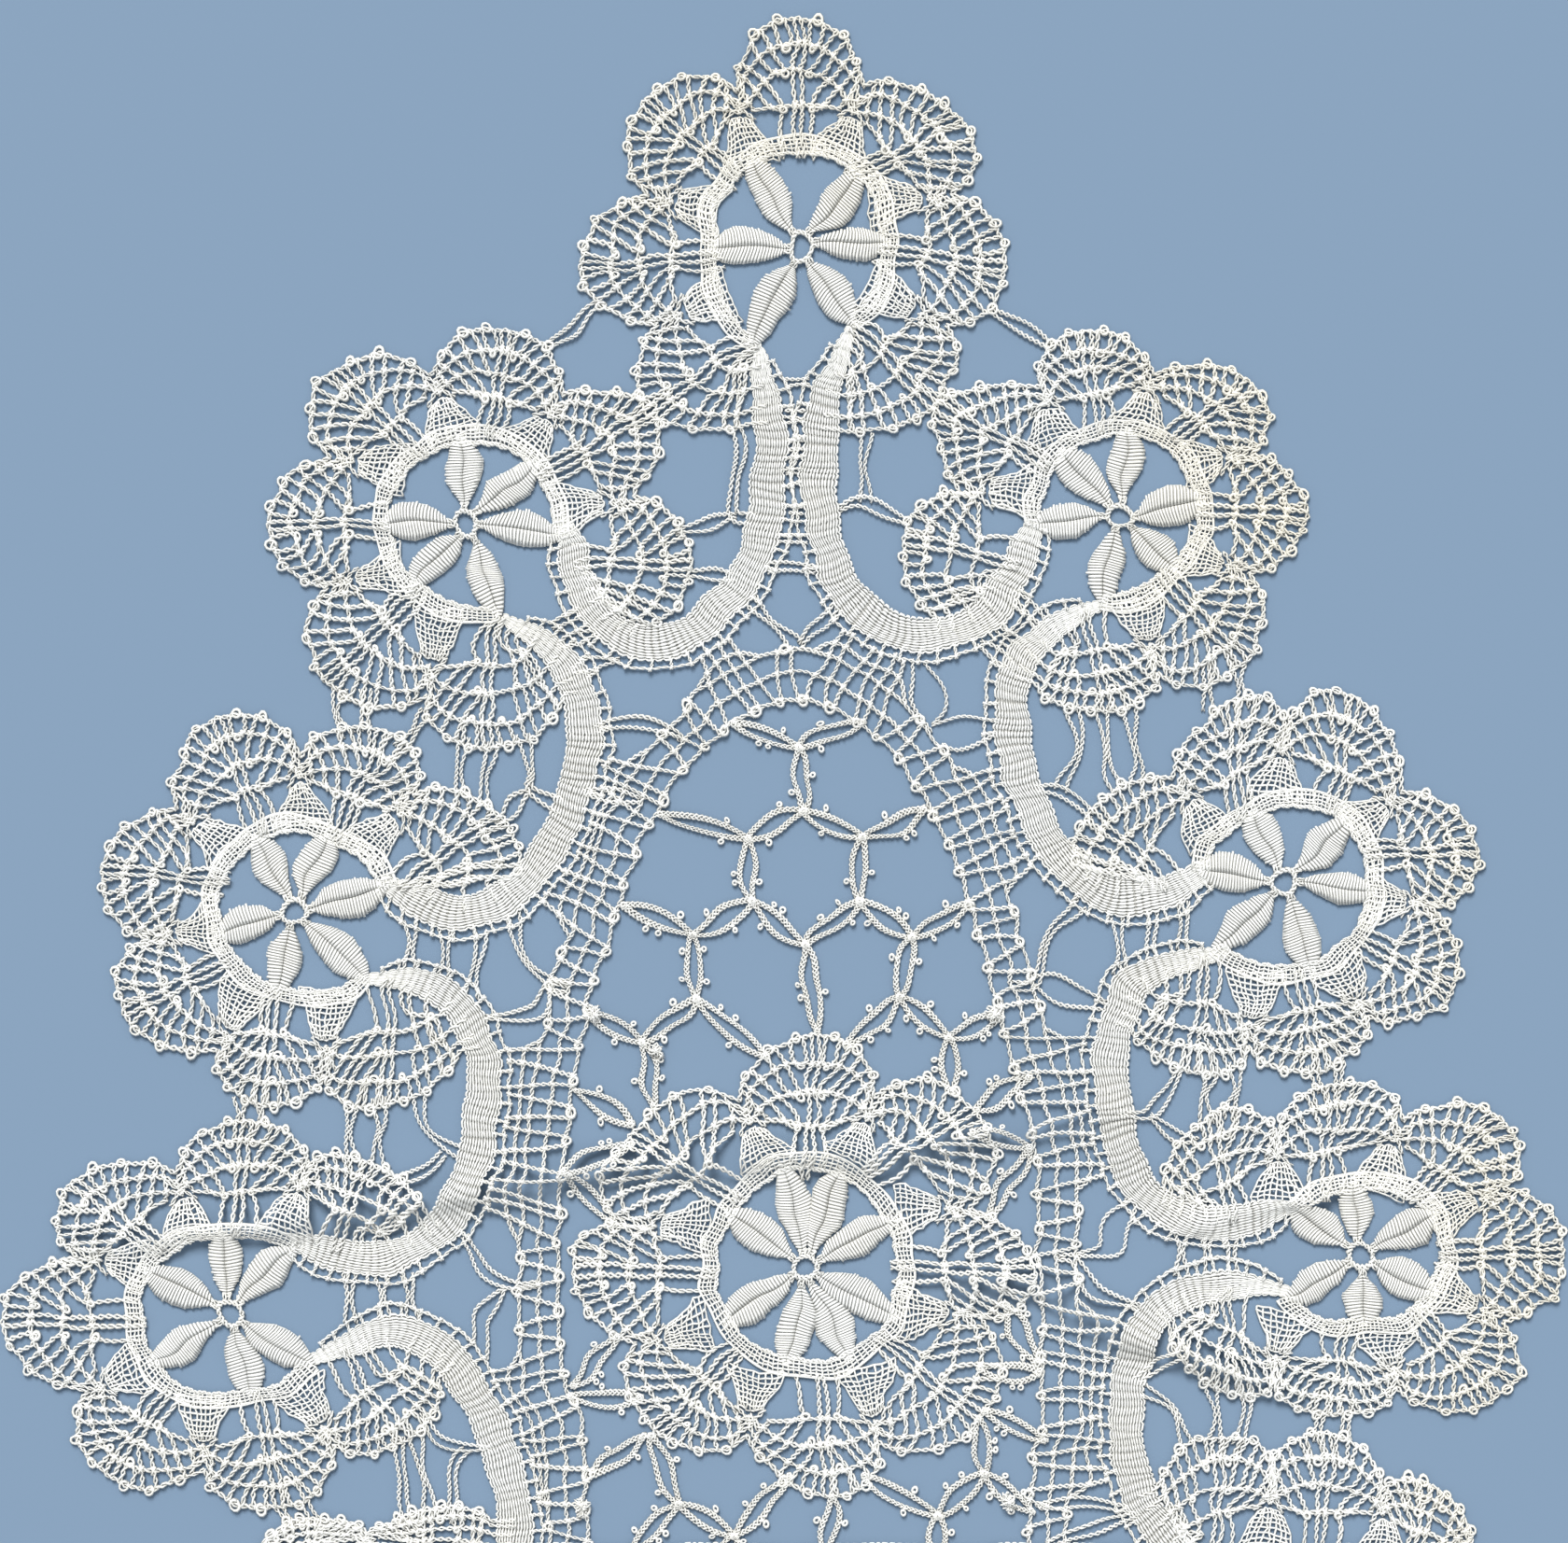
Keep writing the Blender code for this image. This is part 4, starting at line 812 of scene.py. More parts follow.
def meetings(first, second):
    """Where one line crosses another, with the way the first one is going there."""
    a, b = first[:-1, None], second[None, :-1]
    u, w = first[1:, None] - a, second[None, 1:] - b
    area = u[..., 0] * w[..., 1] - u[..., 1] * w[..., 0]
    area = np.where(np.abs(area) < 1e-9, 1e-9, area)
    gap = b - a
    t = (gap[..., 0] * w[..., 1] - gap[..., 1] * w[..., 0]) / area
    q = (gap[..., 0] * u[..., 1] - gap[..., 1] * u[..., 0]) / area
    return [(first[i] + t[i, j] * (first[i + 1] - first[i]), first[i + 1] - first[i])
            for i, j in zip(*np.nonzero((t >= 0) & (t < 1) & (q >= 0) & (q < 1)))]


print("the ends of a tucked pair go down to", round(tucked(arc)[0, 2], 2), "mm")

# %% [markdown]
# A fan is a net of twisted pairs, and both its halves are alike. Every place in a half is given by
# two shares: how far round it is from the spoke to the wedge, and how far out from the band to the
# edge. The same few shares then make large and small fans that come out alike, as they do under one
# lacemaker's hands. Stops for every pair of every fan would be thousands of numbers.

# %% half of a fan
PASSIVE_ROWS = (0.29, 0.54, 0.78)
PASSIVE_ENDS = (0.62, 0.65, 0.84)
TAPE_ENDS = (0.16, 0.5, 0.8)
ROW_BEND = 2.1


def ways(start, end):
    """How far it is from one place to another, the way ahead, and the way to the left of it."""
    length = np.linalg.norm(end - start)
    ahead = (end - start) / length
    return length, ahead, np.array([-ahead[1], ahead[0]])


class Half:
    """One half of a fan, from the spoke to one side. Its places are given by two shares."""

    def __init__(self, rib, spoke, other, centre):
        self.by_tape = rib.kind == "trail"
        self.foot = np.array(rib.foot)
        self.end = np.array(rib.end)
        self.spoke_foot = np.array(spoke.foot)
        middle = (self.end + np.array(other.end)) / 2
        turn = np.linspace(math.pi / 2, 0.0, 25)[:, None]
        curve = (middle + (self.end - middle) * np.abs(np.cos(turn)) ** spoke.flat
                 + (np.array(spoke.end) - middle) * np.sin(turn) ** spoke.flat)
        self.edge = even(curve, 0.4)
        self.centre = centre

    def inner(self, u):
        """Along the band, round the flower's centre where there is one."""
        straight = self.spoke_foot + np.multiply.outer(u, self.foot - self.spoke_foot)
        if self.centre is None:
            return straight
        a, b = self.spoke_foot - self.centre, self.foot - self.centre
        reach = np.linalg.norm(a) + (np.linalg.norm(b) - np.linalg.norm(a)) * u
        spread = straight - self.centre
        return self.centre + spread * (reach / np.linalg.norm(spread, axis=-1))[..., None]

    def outer(self, u):
        """Along the edge."""
        steps = np.arange(len(self.edge))
        at = np.asarray(u) * steps[-1]
        return np.stack([np.interp(at, steps, column) for column in self.edge.T], axis=-1)

    def place(self, u, v):
        u, v = np.broadcast_arrays(np.asarray(u, float), np.asarray(v, float))
        return self.inner(u) * (1.0 - v)[..., None] + self.outer(u) * v[..., None]

    def row(self, k, u):
        """How far out passive row k runs, counted from the band."""
        start, stop = PASSIVE_ROWS[k - 1], (TAPE_ENDS if self.by_tape else PASSIVE_ENDS)[k - 1]
        return start + (stop - start) * np.asarray(u, float) ** ROW_BEND

    def run_on(self, line, extra):
        """The line with a little more at its end: on to a tape, or across the wedge to the next fan."""
        if self.by_tape:
            tape_middle = onto_tape(line[-1])
            return line if np.all(tape_middle == line[-1]) else np.vstack([line, tape_middle])
        _, ahead, _ = ways(line[-2], line[-1])
        return np.vstack([line, line[-1] + ahead * extra / 2, line[-1] + ahead * extra])

    def away(self, u):
        """Outwards from the edge."""
        ahead = self.outer(min(1.0, u + 0.04)) - self.outer(max(0.0, u - 0.04))
        ahead = np.array([-ahead[1], ahead[0]]) / np.linalg.norm(ahead)
        return ahead * np.sign(ahead @ (self.outer(u) - (self.spoke_foot + self.foot) / 2))


print("by a wedge the rows go out to", PASSIVE_ENDS, "of the way, and by a tape to", TAPE_ENDS)

# %% [markdown]
# The worker pair makes the fan. It comes in from the edge, turns inside the rows round a small loop
# and goes out again, three times in each half. Its turns at the edge are drawn out into picots. Its
# two legs stand apart near the edge and close up towards the turn.

# %% worker
Turn = namedtuple("Turn", "inside beside row out")

# Where it turns, and where it does so beside a tape, in which row, and where it comes out at the edge.
WORKER_TURNS = (Turn(0.14, 0.18, 3, 0.2), Turn(0.15, 0.45, 2, 0.46), Turn(0.22, 0.74, 1, 0.76))
LEG_GAP = (0.74, 0.84)
LEG_BOW = 0.7
FAN_THREAD = 0.2
FAN_PAIR = 0.245


def worker_turn(skein, half, turn):
    """The worker comes in from the edge on one leg, turns inside a row, and goes out on the other."""
    inside = (turn.beside if half.by_tape else turn.inside) * rng.uniform(0.9, 1.1)
    v = float(half.row(turn.row, inside)) - 0.03
    tip = half.place(inside, v)
    long = np.linalg.norm(half.outer(turn.out) - tip)
    share = np.linspace(1.0, min(0.3, 1.0 / long), 5)
    out = v + (1.0 - v) * share
    wide = np.linalg.norm(half.place(1.0, out) - half.place(0.0, out), axis=1)
    room = min(1.0, (len(half.edge) - 1) * 0.4 / 12.0)
    gap = np.interp(share, [0.0, 1.0], LEG_GAP) * room * rng.uniform(0.92, 1.06) / wide
    along = inside + (turn.out - inside) * share ** LEG_BOW
    legs = [half.place(along + side * gap, out) for side in (-1.0, 1.0)]
    path = smooth(np.vstack([legs[0], tip, legs[1][::-1]]), 0.5)
    height = 0.5 + 0.14 * np.sin(gone_along(path) * 1.9)
    twisted(skein, np.column_stack([path, height]), FAN_THREAD, FAN_PAIR)
    picot(skein, tip, tip - half.place(turn.out, 1.0), rng.uniform(0.3, 0.5))
    away = half.away(turn.out) + rng.normal(0.0, 0.12, 2)
    picot(skein, half.outer(turn.out), away, rng.uniform(0.48, 0.66), 0.27)
    return path, tip


print("the worker turns", 2 * len(WORKER_TURNS), "times in a fan")

# %% [markdown]
# The passive pairs run round the fan in three rows, and one more makes the scalloped edge: it stands
# out at each turn of the worker and is pulled in between. Beside a wedge the rows run on a little,
# into the next fan. Beside a tape they run on to it.

# %% rows and edge
ROW_REACH = (0.74, 1.0, 1.0)
RUN_ON = (0.1, 0.3, 0.7)
EDGE_PULL = 0.28
END_PULL = 0.1


def passive_rows(skein, halves):
    share = np.linspace(0.0, 1.0, 20)
    rows = []
    for k in range(1, len(PASSIVE_ROWS) + 1):
        ends = []
        for half in halves:
            along = share * (1.0 if half.by_tape else ROW_REACH[k - 1])
            ends.append(half.run_on(half.place(along, half.row(k, along)), RUN_ON[k - 1]))
        rows.append(np.vstack([ends[0][::-1], ends[1][1:]]))
        twisted(skein, rows[-1], FAN_THREAD, FAN_PAIR)
    return rows


def fan_edge(halves):
    stops = []
    for half, order in zip(halves, (-1, 1)):
        shares = [0.0] + [turn.out for turn in WORKER_TURNS] + [1.0]
        places = []
        for a, b in zip(shares, shares[1:]):
            pull = EDGE_PULL if b < 1.0 or a == 0.0 else END_PULL
            places += [half.outer(a), half.outer((a + b) / 2) - half.away((a + b) / 2) * pull]
        places = [*places, *half.run_on(np.array([places[-1], half.outer(1.0)]), 0.05)[1:]][::order]
        stops += places[1:] if stops else places
    return smooth(stops, 0.4)


# %% [markdown]
# Two pairs climb the middle of each fan, close together at the rows and apart between them. On each
# side one short pair runs down from the edge and another comes up from the foot. Beside a tape two
# more come out of it, because there the worker stays further off.

# %% spoke and side pairs
# How far up the spoke, and how far from its middle in mm.
SPOKE = ((-0.14, 0.34), (0.13, 0.6), (0.29, 0.42), (0.41, 0.68), (0.54, 0.42), (0.66, 0.68), (0.78, 0.42),
         (0.89, 0.62), (1.0, 0.44))
EDGE_LEG = ((0.86, 1.0), (0.84, 0.8), (0.8, 0.62), (0.71, 0.47))
LOW_LEG = ((0.38, -0.14), (0.31, 0.12))
TAPE_LEGS = (0.42, 0.72)


def spoke_pairs(skein, halves, near_tape):
    foot = halves[0].spoke_foot
    top = halves[0].outer(0.0)
    _, _, left = ways(foot, top)
    pairs = []
    for side in (-1.0, 1.0):
        across = left * side
        stops = [foot * (1.0 - v) + top * v + across * apart for v, apart in SPOKE]
        if near_tape:
            stops[0] = onto_tape(foot) + across * SPOKE[0][1]
        pairs.append(smooth(stops))
        twisted(skein, raised(pairs[-1], BED + 0.12), FAN_THREAD, FAN_PAIR)
    return pairs


def side_pairs(skein, half, tip, near_tape):
    """The pairs at the side of a fan; the low one ends at the tip of the worker's last turn."""
    low = [half.place(u, v) for u, v in LOW_LEG]
    if near_tape:
        low[0] = onto_tape(low[0])
    pairs = [smooth([half.place(u, v) for u, v in EDGE_LEG]), smooth(low + [tip])]
    for u in TAPE_LEGS if half.by_tape else ():
        out = np.array([float(half.row(1, u)) / 2, float(half.row(2, u)) + 0.02])
        pairs.append(smooth(np.vstack([onto_tape(half.place(u, 0.0)), half.place(u + 0.1 * out, out)])))
    for pair in pairs:
        twisted(skein, tucked(pair), FAN_THREAD, FAN_PAIR)
    return pairs


print("a spoke is", round(2 * max(apart for _, apart in SPOKE), 1), "mm wide")

# %% [markdown]
# A whole fan puts these together, and then works a crossing wherever a pair meets a row. Crossings
# too near to another one or to the tip of a wedge are left out: there they would pile up in a lump.

# %% fan
STITCH_GAP = 0.75
WEDGE_GAP = 1.7


def fan(skein, first, spoke, last, centre):
    halves = [Half(first, spoke, last, centre), Half(last, spoke, first, centre)]
    near_tape = halves[0].by_tape or halves[1].by_tape
    rows = passive_rows(skein, halves)
    twisted(skein, fan_edge(halves), FAN_THREAD, FAN_PAIR)
    pairs = spoke_pairs(skein, halves, near_tape)
    taken = []
    for half in halves:
        for turn in WORKER_TURNS:
            leg, tip = worker_turn(skein, half, turn)
            pairs.append(leg)
            taken.append(tip)
        pairs += side_pairs(skein, half, taken[-1], near_tape)
    for row in rows:
        for pair in pairs:
            for place, ahead in meetings(pair, row):
                free = min(np.linalg.norm(place - other) for other in taken) > STITCH_GAP
                if free and min(np.linalg.norm(place - half.end) for half in halves) > WEDGE_GAP:
                    crossing(skein, place, ahead, 0.6, 0.6, 0.24)
                    taken.append(place)


# %% [markdown]
# Between the fans a wedge of open cloth stitch stands on the band. It is wide at its foot, narrows
# outwards, and ends in two pairs that cross and run on to the valley between the scallops. The same
# weaving as in the band makes it, on a grid that narrows and bows a little.

# %% wedge
WEDGE_DEPTH = 6.2
WEDGE_SHARE = 0.56
WEDGE_HALF = (3.9, 1.5)
WEDGE_THREADS = 10
WEDGE_PITCH = 0.68
WEDGE_SUNK = 0.9
WEDGE_BOW = 0.5
WEDGE_UNEVEN = 0.1
WEDGE_WOVEN = (0.18, 0.165)
# How far out the pairs run, and how far from the middle in mm: they change sides on the way.
WEDGE_PAIR = ((0.0, 1.9), (0.3, 1.0), (0.65, -0.5), (0.95, -1.5))


def wedge(skein, rib):
    foot = np.array(rib.foot)
    length, ahead, across = ways(foot, np.array(rib.end))
    depth = min(WEDGE_DEPTH, WEDGE_SHARE * length)
    rows = round((depth + WEDGE_SUNK) / WEDGE_PITCH) + 1
    out = np.linspace(-WEDGE_SUNK, depth, rows)
    wide = np.interp(out, [0.0, depth], WEDGE_HALF)
    over = np.linspace(-1.0, 1.0, WEDGE_THREADS)
    bowed = out[:, None] - WEDGE_BOW * over ** 2
    grid = foot + bowed[..., None] * ahead + (wide[:, None] * over)[..., None] * across
    weave(skein, grid + rng.normal(0.0, WEDGE_UNEVEN, grid.shape), *WEDGE_WOVEN)
    for side in (-1.0, 1.0):
        twisted(skein, smooth([foot + ahead * (depth - 0.5 + (length - depth) * share) + across * side * away
                               for share, away in WEDGE_PAIR]))


def fans_and_wedges(skein, rows, centre):
    """All fans of a row of ribs, then its wedges, without a last one that is the first again."""
    for i in range(0, len(rows) - 2, 2):
        fan(skein, *rows[i:i + 3], centre)
    for rib in rows[:-1] if rows[-1] == rows[0] else rows:
        if rib.kind == "wedge":
            wedge(skein, rib)


# %% [markdown]
# Now the first eight pieces can be laid, one for each flower with its band, fans and wedges. One
# mesh for the whole mat would be simpler, but a mesh of a million triangles is slow to handle, and a
# flower is a natural unit of the work.

# %% lay the rings
def finished(skein, name, finish):
    """The skein as a piece of the lace, which rides on the solid and takes its thread finish."""
    made = skein.piece(name, finish)
    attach(made, "root")
    return made


for ring in RINGS:
    skein = Skein()
    flower(skein, ring)
    band(skein, ring)
    fans_and_wedges(skein, RIBS[ring.name], np.array([ring.x, ring.y]))
    finished(skein, "ring_" + ring.name, linen)

# %% [markdown]
# The trails are dense tapes of cloth stitch that carry the eye from flower to flower. Threads lie
# side by side along them, and the worker goes across them without a gap. Every third point of a
# thread is pressed down by a cross row, and the cloth puckers in slow waves, so that soft ripples
# run across the tape. A flat strip with a bump on it would have lost its saw-edged shadow.

# %% tape
TAPE_THREADS = 13
TAPE_STEP = 0.35
PUCKER = 1.9
CORE_SHARES = (-0.96, -0.48, 0.0, 0.48, 0.96)
CORE_HEIGHT = 0.2
TAPE_HEIGHT = 0.56
TAPE_FLAT = 0.25


def tape(skein, path, half):
    """Dense cloth along a path, with a half width for each of its points; every third one is a cross row."""
    # The core under the tape is a sheet in painted shade, dark in the gaps between its threads.
    lines = [beside(path, half * share) for share in CORE_SHARES]
    core(skein, np.stack([raised(line, CORE_HEIGHT)[::2] for line in lines], axis=1))
    gone = gone_along(path)
    sunk = 0.5 - 0.5 * np.sin(gone * 2 * math.pi / PUCKER + 1.1 * np.sin(gone / 3.0))
    step = np.arange(len(path))
    under = step % 3 == 0
    slant = rng.normal(0.0, 0.1, len(path))[(step + 1) // 3]
    # A cross row is drawn in deeper along some stretches than along others, and less at a tail.
    share = half / half.max()
    drawn = (0.3 + 0.7 * np.sin(gone / 9.0 + rng.uniform(0.0, 6.28)) ** 2) * share
    deep = under * drawn * rng.uniform(0.5, 1.4, len(path))
    ahead = directions(raised(path))[0][:, :2]
    full = 0.5 + 0.5 * share
    for j, over in enumerate(np.linspace(-1.0, 1.0, TAPE_THREADS)):
        # Threads sway a little sideways, and slip along so that the rows slant and bulge.
        sway = over ** 5 * (0.08 - 0.2 * under) + rng.normal(0.0, 0.02, len(path))
        slip = slant * over + 0.05 * (j % 2 - 0.5) + 0.12 * (1.0 - over ** 2) + 0.1 * (step % 3 - 1) * ~under
        height = (TAPE_HEIGHT - 0.2 * deep - 0.1 * sunk) * full + rng.normal(0.0, 0.012, len(path))
        # What is drawn down under a cross row or sunk in a pucker's valley gets painted shade, and every
        # third thread at a tail is greyer.
        split = (2.6 if j % 3 == 0 else 0.5) * (1.0 - share)
        tone_and_shade = rng.uniform(-0.5, 0.0) + deep * (2.0 + 0.8 * (j % 2)) + 0.4 * sunk ** 3 + split
        line = beside(path, half * over + sway) + ahead * slip[:, None]
        strand(skein, raised(line, height), np.where(under, 0.16, 0.2) * full, tone_and_shade, TAPE_FLAT)


print("a tape has", TAPE_THREADS, "threads and a cross row every", round(3 * TAPE_STEP, 2), "mm")

# %% [markdown]
# A trail narrows to a tail where it leaves its flower and again where it joins the next. One edge is
# plain, where the worker turns back. The other has a footing, a twisted pair that stands a little
# off the tape with slots between, and short pairs that tie it on.

# %% trail
FOOTING = 1.3
FOOTING_WAVE = 2.04
FOOTING_FROM = 0.3
TAPER = 11.0
TAPE_HALF = 2.25
TAIL_SHARE = 0.26
TAIL_GROWS = 0.66
NO_TAIL = 1e3
SLOT_STEPS = 6
FINE = 0.17


def trail_half(trail, gone):
    """Half the width all along a trail, and how far each point is from the nearer tail."""
    left_over = NO_TAIL if trail.name.endswith("foot") else gone[-1] - gone
    near = np.minimum(gone, 3.0 + 1.8 * left_over)
    return TAPE_HALF * np.clip(TAIL_SHARE + TAIL_GROWS * near / TAPER, 0.0, 1.0), near


def trail_tape(skein, trail):
    """Lays one trail, and gives back the places along its footing."""
    path = even(smooth(trail.stops, 0.5), TAPE_STEP)
    gone = gone_along(path)
    half, near = trail_half(trail, gone)
    tape(skein, path, half)
    side = trail.footing
    kept = near > FOOTING_FROM * TAPER
    wave = 0.08 * np.sin(gone * 2 * math.pi / FOOTING_WAVE)
    off = half + FOOTING * np.clip(near / TAPER - 0.1, 0.0, 0.5) * 2 + wave
    edge = beside(path, side * off)[kept]
    twisted(skein, edge, FINE, FINE)
    left = directions(raised(path))[1][:, :2]
    for i in np.flatnonzero(kept)[::SLOT_STEPS]:
        a = path[i] + left[i] * side * (half[i] - 0.3)
        b = path[i] + left[i] * side * (off[i] + 0.1)
        twisted(skein, np.array([a, (a + b) / 2, b]), FINE, FINE, 1.4)
        crossing(skein, b, left[i], 0.35, radius=0.19)
    return edge


skein = Skein()
trail_edges = np.vstack([trail_tape(skein, trail) for trail in TRAILS])
finished(skein, "trails", linen)

# %% [markdown]
# Under the two top trails runs an arch of open net. Three pairs follow it, and a worker goes to and
# fro across them. Where a trail's footing is near, the worker goes out to it, and one more pair runs
# halfway there; elsewhere it turns in a picot. Working it out from the distance to the footing ties
# the arch to the trails in the right places by itself.

# %% plan of the arch
ARCH = (
    (-29.4, -103.0), (-30.1, -87.4), (-33.0, -77.9), (-33.4, -64.3), (-33.1, -55.2), (-31.6, -40.3),
    (-29.8, -31.0), (-28.5, -24.6), (-25.4, -15.6), (-22.4, -6.0), (-18.2, 1.6), (-9.9, 11.4),
    (1.4, 16.6), (12.6, 11.8), (19.4, 4.2), (25.0, -6.0), (28.7, -17.0), (31.4, -26.8), (34.0, -36.8),
    (37.0, -48.6), (37.2, -63.2), (37.8, -76.0), (37.6, -86.0), (35.8, -97.3), (36.4, -103.0),
)
ARCH_TOP = 12
ARCH_SPREAD = 2.6
TOP_SPREAD = 0.75
TOP_LENGTH = 12.0
print("the arch is", round(gone_along(smooth(ARCH))[-1]), "mm long")

# %% arch
TURN_PITCH = 2.3
TURN_HALF = 0.62
TURN_REACH = (1.2, 5.4)
NET_TURN = 1.8
EXTRA_PAST = 2.0


def extra_pair(skein, lines, run, side, place):
    """One more pair between the arch and the trail, as long as the worker goes out to the trail."""
    if len(run) < 2:
        return
    stops = [place(run[0][0] - EXTRA_PAST, side)]
    stops += [place(s, side) + out * 0.5 for s, out in run]
    stops += [place(run[-1][0] + EXTRA_PAST, side)]
    lines.append(smooth(stops))
    twisted(skein, lines[-1], turn=NET_TURN)


def arch_net(skein, edges):
    """Three pairs along the arch, and the worker to and fro across them and out to the trails."""
    path = even(smooth(ARCH, 0.8), 0.5)
    gone = gone_along(path)
    top = gone[np.linalg.norm(path - np.array(ARCH[ARCH_TOP]), axis=1).argmin()]
    spread = ARCH_SPREAD + TOP_SPREAD * np.exp(-((gone - top) / TOP_LENGTH) ** 2)
    left = directions(raised(path))[1][:, :2]

    def place(s, side):
        line = path + left * (side * spread)[:, None]
        return np.array([np.interp(s, gone, column) for column in line.T])

    lines = []
    for side in (-1.0, 0.0, 1.0):
        sway = 0.12 * np.sin(gone * math.pi / TURN_PITCH + side * 1.6)
        lines.append(path + left * (side * spread + sway)[:, None])
        twisted(skein, lines[-1], turn=NET_TURN)
    turns = []
    between = {1.0: [], -1.0: []}
    for k in range(int(gone[-1] / TURN_PITCH)):
        s = (k + 0.5 + rng.normal(0.0, 0.06)) * TURN_PITCH
        side = 1.0 if k % 2 else -1.0
        reach = np.linalg.norm(edges - place(s, side), axis=1)
        if TURN_REACH[0] < reach.min() < TURN_REACH[1]:
            out = edges[reach.argmin()] - place(s, side)
            turns.append((place(s - TURN_HALF, side) + out, place(s + TURN_HALF, side) + out))
            for end in turns[-1]:
                crossing(skein, end, out)
            between[side].append((s, out))
        else:
            turns.append((place(s - TURN_HALF, side * 1.04), place(s + TURN_HALF, side * 1.04)))
            picot(skein, place(s, side * 1.03), place(s, side) - place(s, 0.0), rng.uniform(0.5, 0.62))
            extra_pair(skein, lines, between[side], side, place)
            between[side] = []
    for side in (1.0, -1.0):
        extra_pair(skein, lines, between[side], side, place)
    for (_, start), (end, _) in zip(turns, turns[1:]):
        rung = smooth([start, (start + end) / 2 + rng.normal(0.0, 0.08, 2), end])
        twisted(skein, raised(rung, BED + 0.1), turn=NET_TURN)
        for line in lines:
            for spot, ahead in meetings(rung, line):
                crossing(skein, spot, ahead, 0.5, radius=0.19)
    print("the arch's worker turns", len(turns), "times")


skein = Skein()
arch_net(skein, trail_edges)

# %% [markdown]
# Inside the arch the filling is a honeycomb of plaited bars. Each bar is two plaits that part in the
# middle and meet at the knots, with a picot or two on each. A plait is three strands that pass over
# each other in turn, and waves a third of a turn apart give just that. A plain tube would look
# like wire.

# %% plait and knot
PLAIT_TURN = 1.9
PLAIT_STEPS = 5
PLAIT_STRANDS = 3
PLAIT_RADIUS = 0.175
PLAIT_HALF = 0.34
PLAIT_RISE = 0.2
PLAIT_UNDER_SHADE = 3.0
KNOT_SIZE = 0.55
KNOT_POINTS = 9
KNOT_RADIUS = 0.22


def plait(skein, path):
    """Three strands plaited, as the bars of the filling are."""
    path = even(raised(path), PLAIT_TURN / PLAIT_STEPS)
    _, left, up = directions(path)
    tone_and_shade = rng.uniform(-0.4, 0.2)
    for k in range(PLAIT_STRANDS):
        angle = (2 * math.pi * (np.arange(len(path)) / PLAIT_STEPS + k / PLAIT_STRANDS))[:, None]
        # Painted shade: each strand is made darker where it passes under the others, and edge greys its
        # lower corners.
        under = np.clip(-np.sin(2 * angle[:, 0]), 0.0, 1.0)
        line = path + PLAIT_HALF * left * np.cos(angle) + PLAIT_RISE * up * np.sin(2 * angle)
        strand(skein, line, PLAIT_RADIUS, tone_and_shade + PLAIT_UNDER_SHADE * under, edge=2.2)


def knot(skein, place):
    """A crossing drawn up tight, as a short spiral of thread."""
    turn = rng.uniform(0.0, 6.28) + np.linspace(0.0, 9.0, KNOT_POINTS)
    reach = np.linspace(KNOT_SIZE, 0.12, KNOT_POINTS)[:, None]
    coil = place + reach * np.column_stack([np.cos(turn), np.sin(turn)])
    strand(skein, np.column_stack([coil, 0.55 + np.linspace(0.0, 0.2, KNOT_POINTS)]), KNOT_RADIUS)


print("a plait is", round(2 * (PLAIT_HALF + PLAIT_RADIUS), 2), "mm wide")

# %% plan of the bars
Bar = namedtuple("Bar", "x0 y0 x1 y1")

# Each bar goes from one knot to the next, or to the arch.
BARS = tuple(Bar(*row) for row in (
    (1.9, 6.6, -6.6, 9.8), (1.9, 6.6, 10.5, 10.3), (1.9, 6.6, 2.5, -2.0), (2.5, -2.0, -5.1, -5.8),
    (2.5, -2.0, 10.5, -5.8), (-5.1, -5.8, -17.0, -2.1), (10.5, -5.8, 19.2, -2.0),
    (-5.1, -5.8, -4.4, -14.5), (10.5, -5.8, 10.3, -14.2), (-4.4, -14.5, -12.3, -18.7),
    (-4.4, -14.5, 2.9, -20.3), (10.3, -14.2, 2.9, -20.3), (10.3, -14.2, 17.3, -19.2),
    (-12.3, -18.7, -22.0, -15.1), (17.3, -19.2, 25.0, -14.7), (2.9, -20.3, 4.6, -32.0),
    (-12.3, -18.7, -12.1, -27.8), (17.3, -19.2, 15.9, -27.4), (-12.1, -27.8, -2.3, -35.8),
    (15.9, -27.4, 8.6, -34.0), (-12.1, -27.8, -19.2, -33.5), (15.9, -27.4, 22.2, -33.0),
    (-19.2, -33.5, -26.6, -29.8), (22.2, -33.0, 29.3, -29.9), (-19.2, -33.5, -17.8, -42.6),
    (22.2, -33.0, 22.9, -40.4), (-28.0, -40.0, -20.8, -44.6), (33.2, -38.4, 25.8, -42.6),
    (-30.0, -51.0, -21.0, -47.4), (-29.4, -51.4, -23.3, -58.3), (33.6, -47.8, 25.6, -45.8),
    (33.6, -48.2, 27.6, -57.2), (-22.8, -73.8, -28.6, -80.6), (-28.8, -82.2, -19.6, -82.0),
    (-18.8, -87.2, -26.2, -92.4), (-17.8, -87.2, -14.6, -96.4), (-14.6, -96.4, -21.0, -103.0),
    (-14.6, -96.4, -7.0, -100.6), (0.6, -92.8, -7.0, -100.6), (-7.0, -100.6, -7.4, -104.0),
    (6.6, -95.4, 5.8, -103.4), (11.0, -92.8, 20.6, -98.0), (20.6, -98.0, 27.2, -92.4),
    (20.6, -98.0, 21.0, -103.4), (27.2, -92.4, 26.6, -85.0), (27.2, -92.4, 33.4, -97.4),
    (27.4, -84.0, 35.4, -87.8), (26.6, -78.2, 34.8, -78.6), (30.0, -69.0, 34.6, -77.6),
))
print(len(BARS), "bars in the filling")

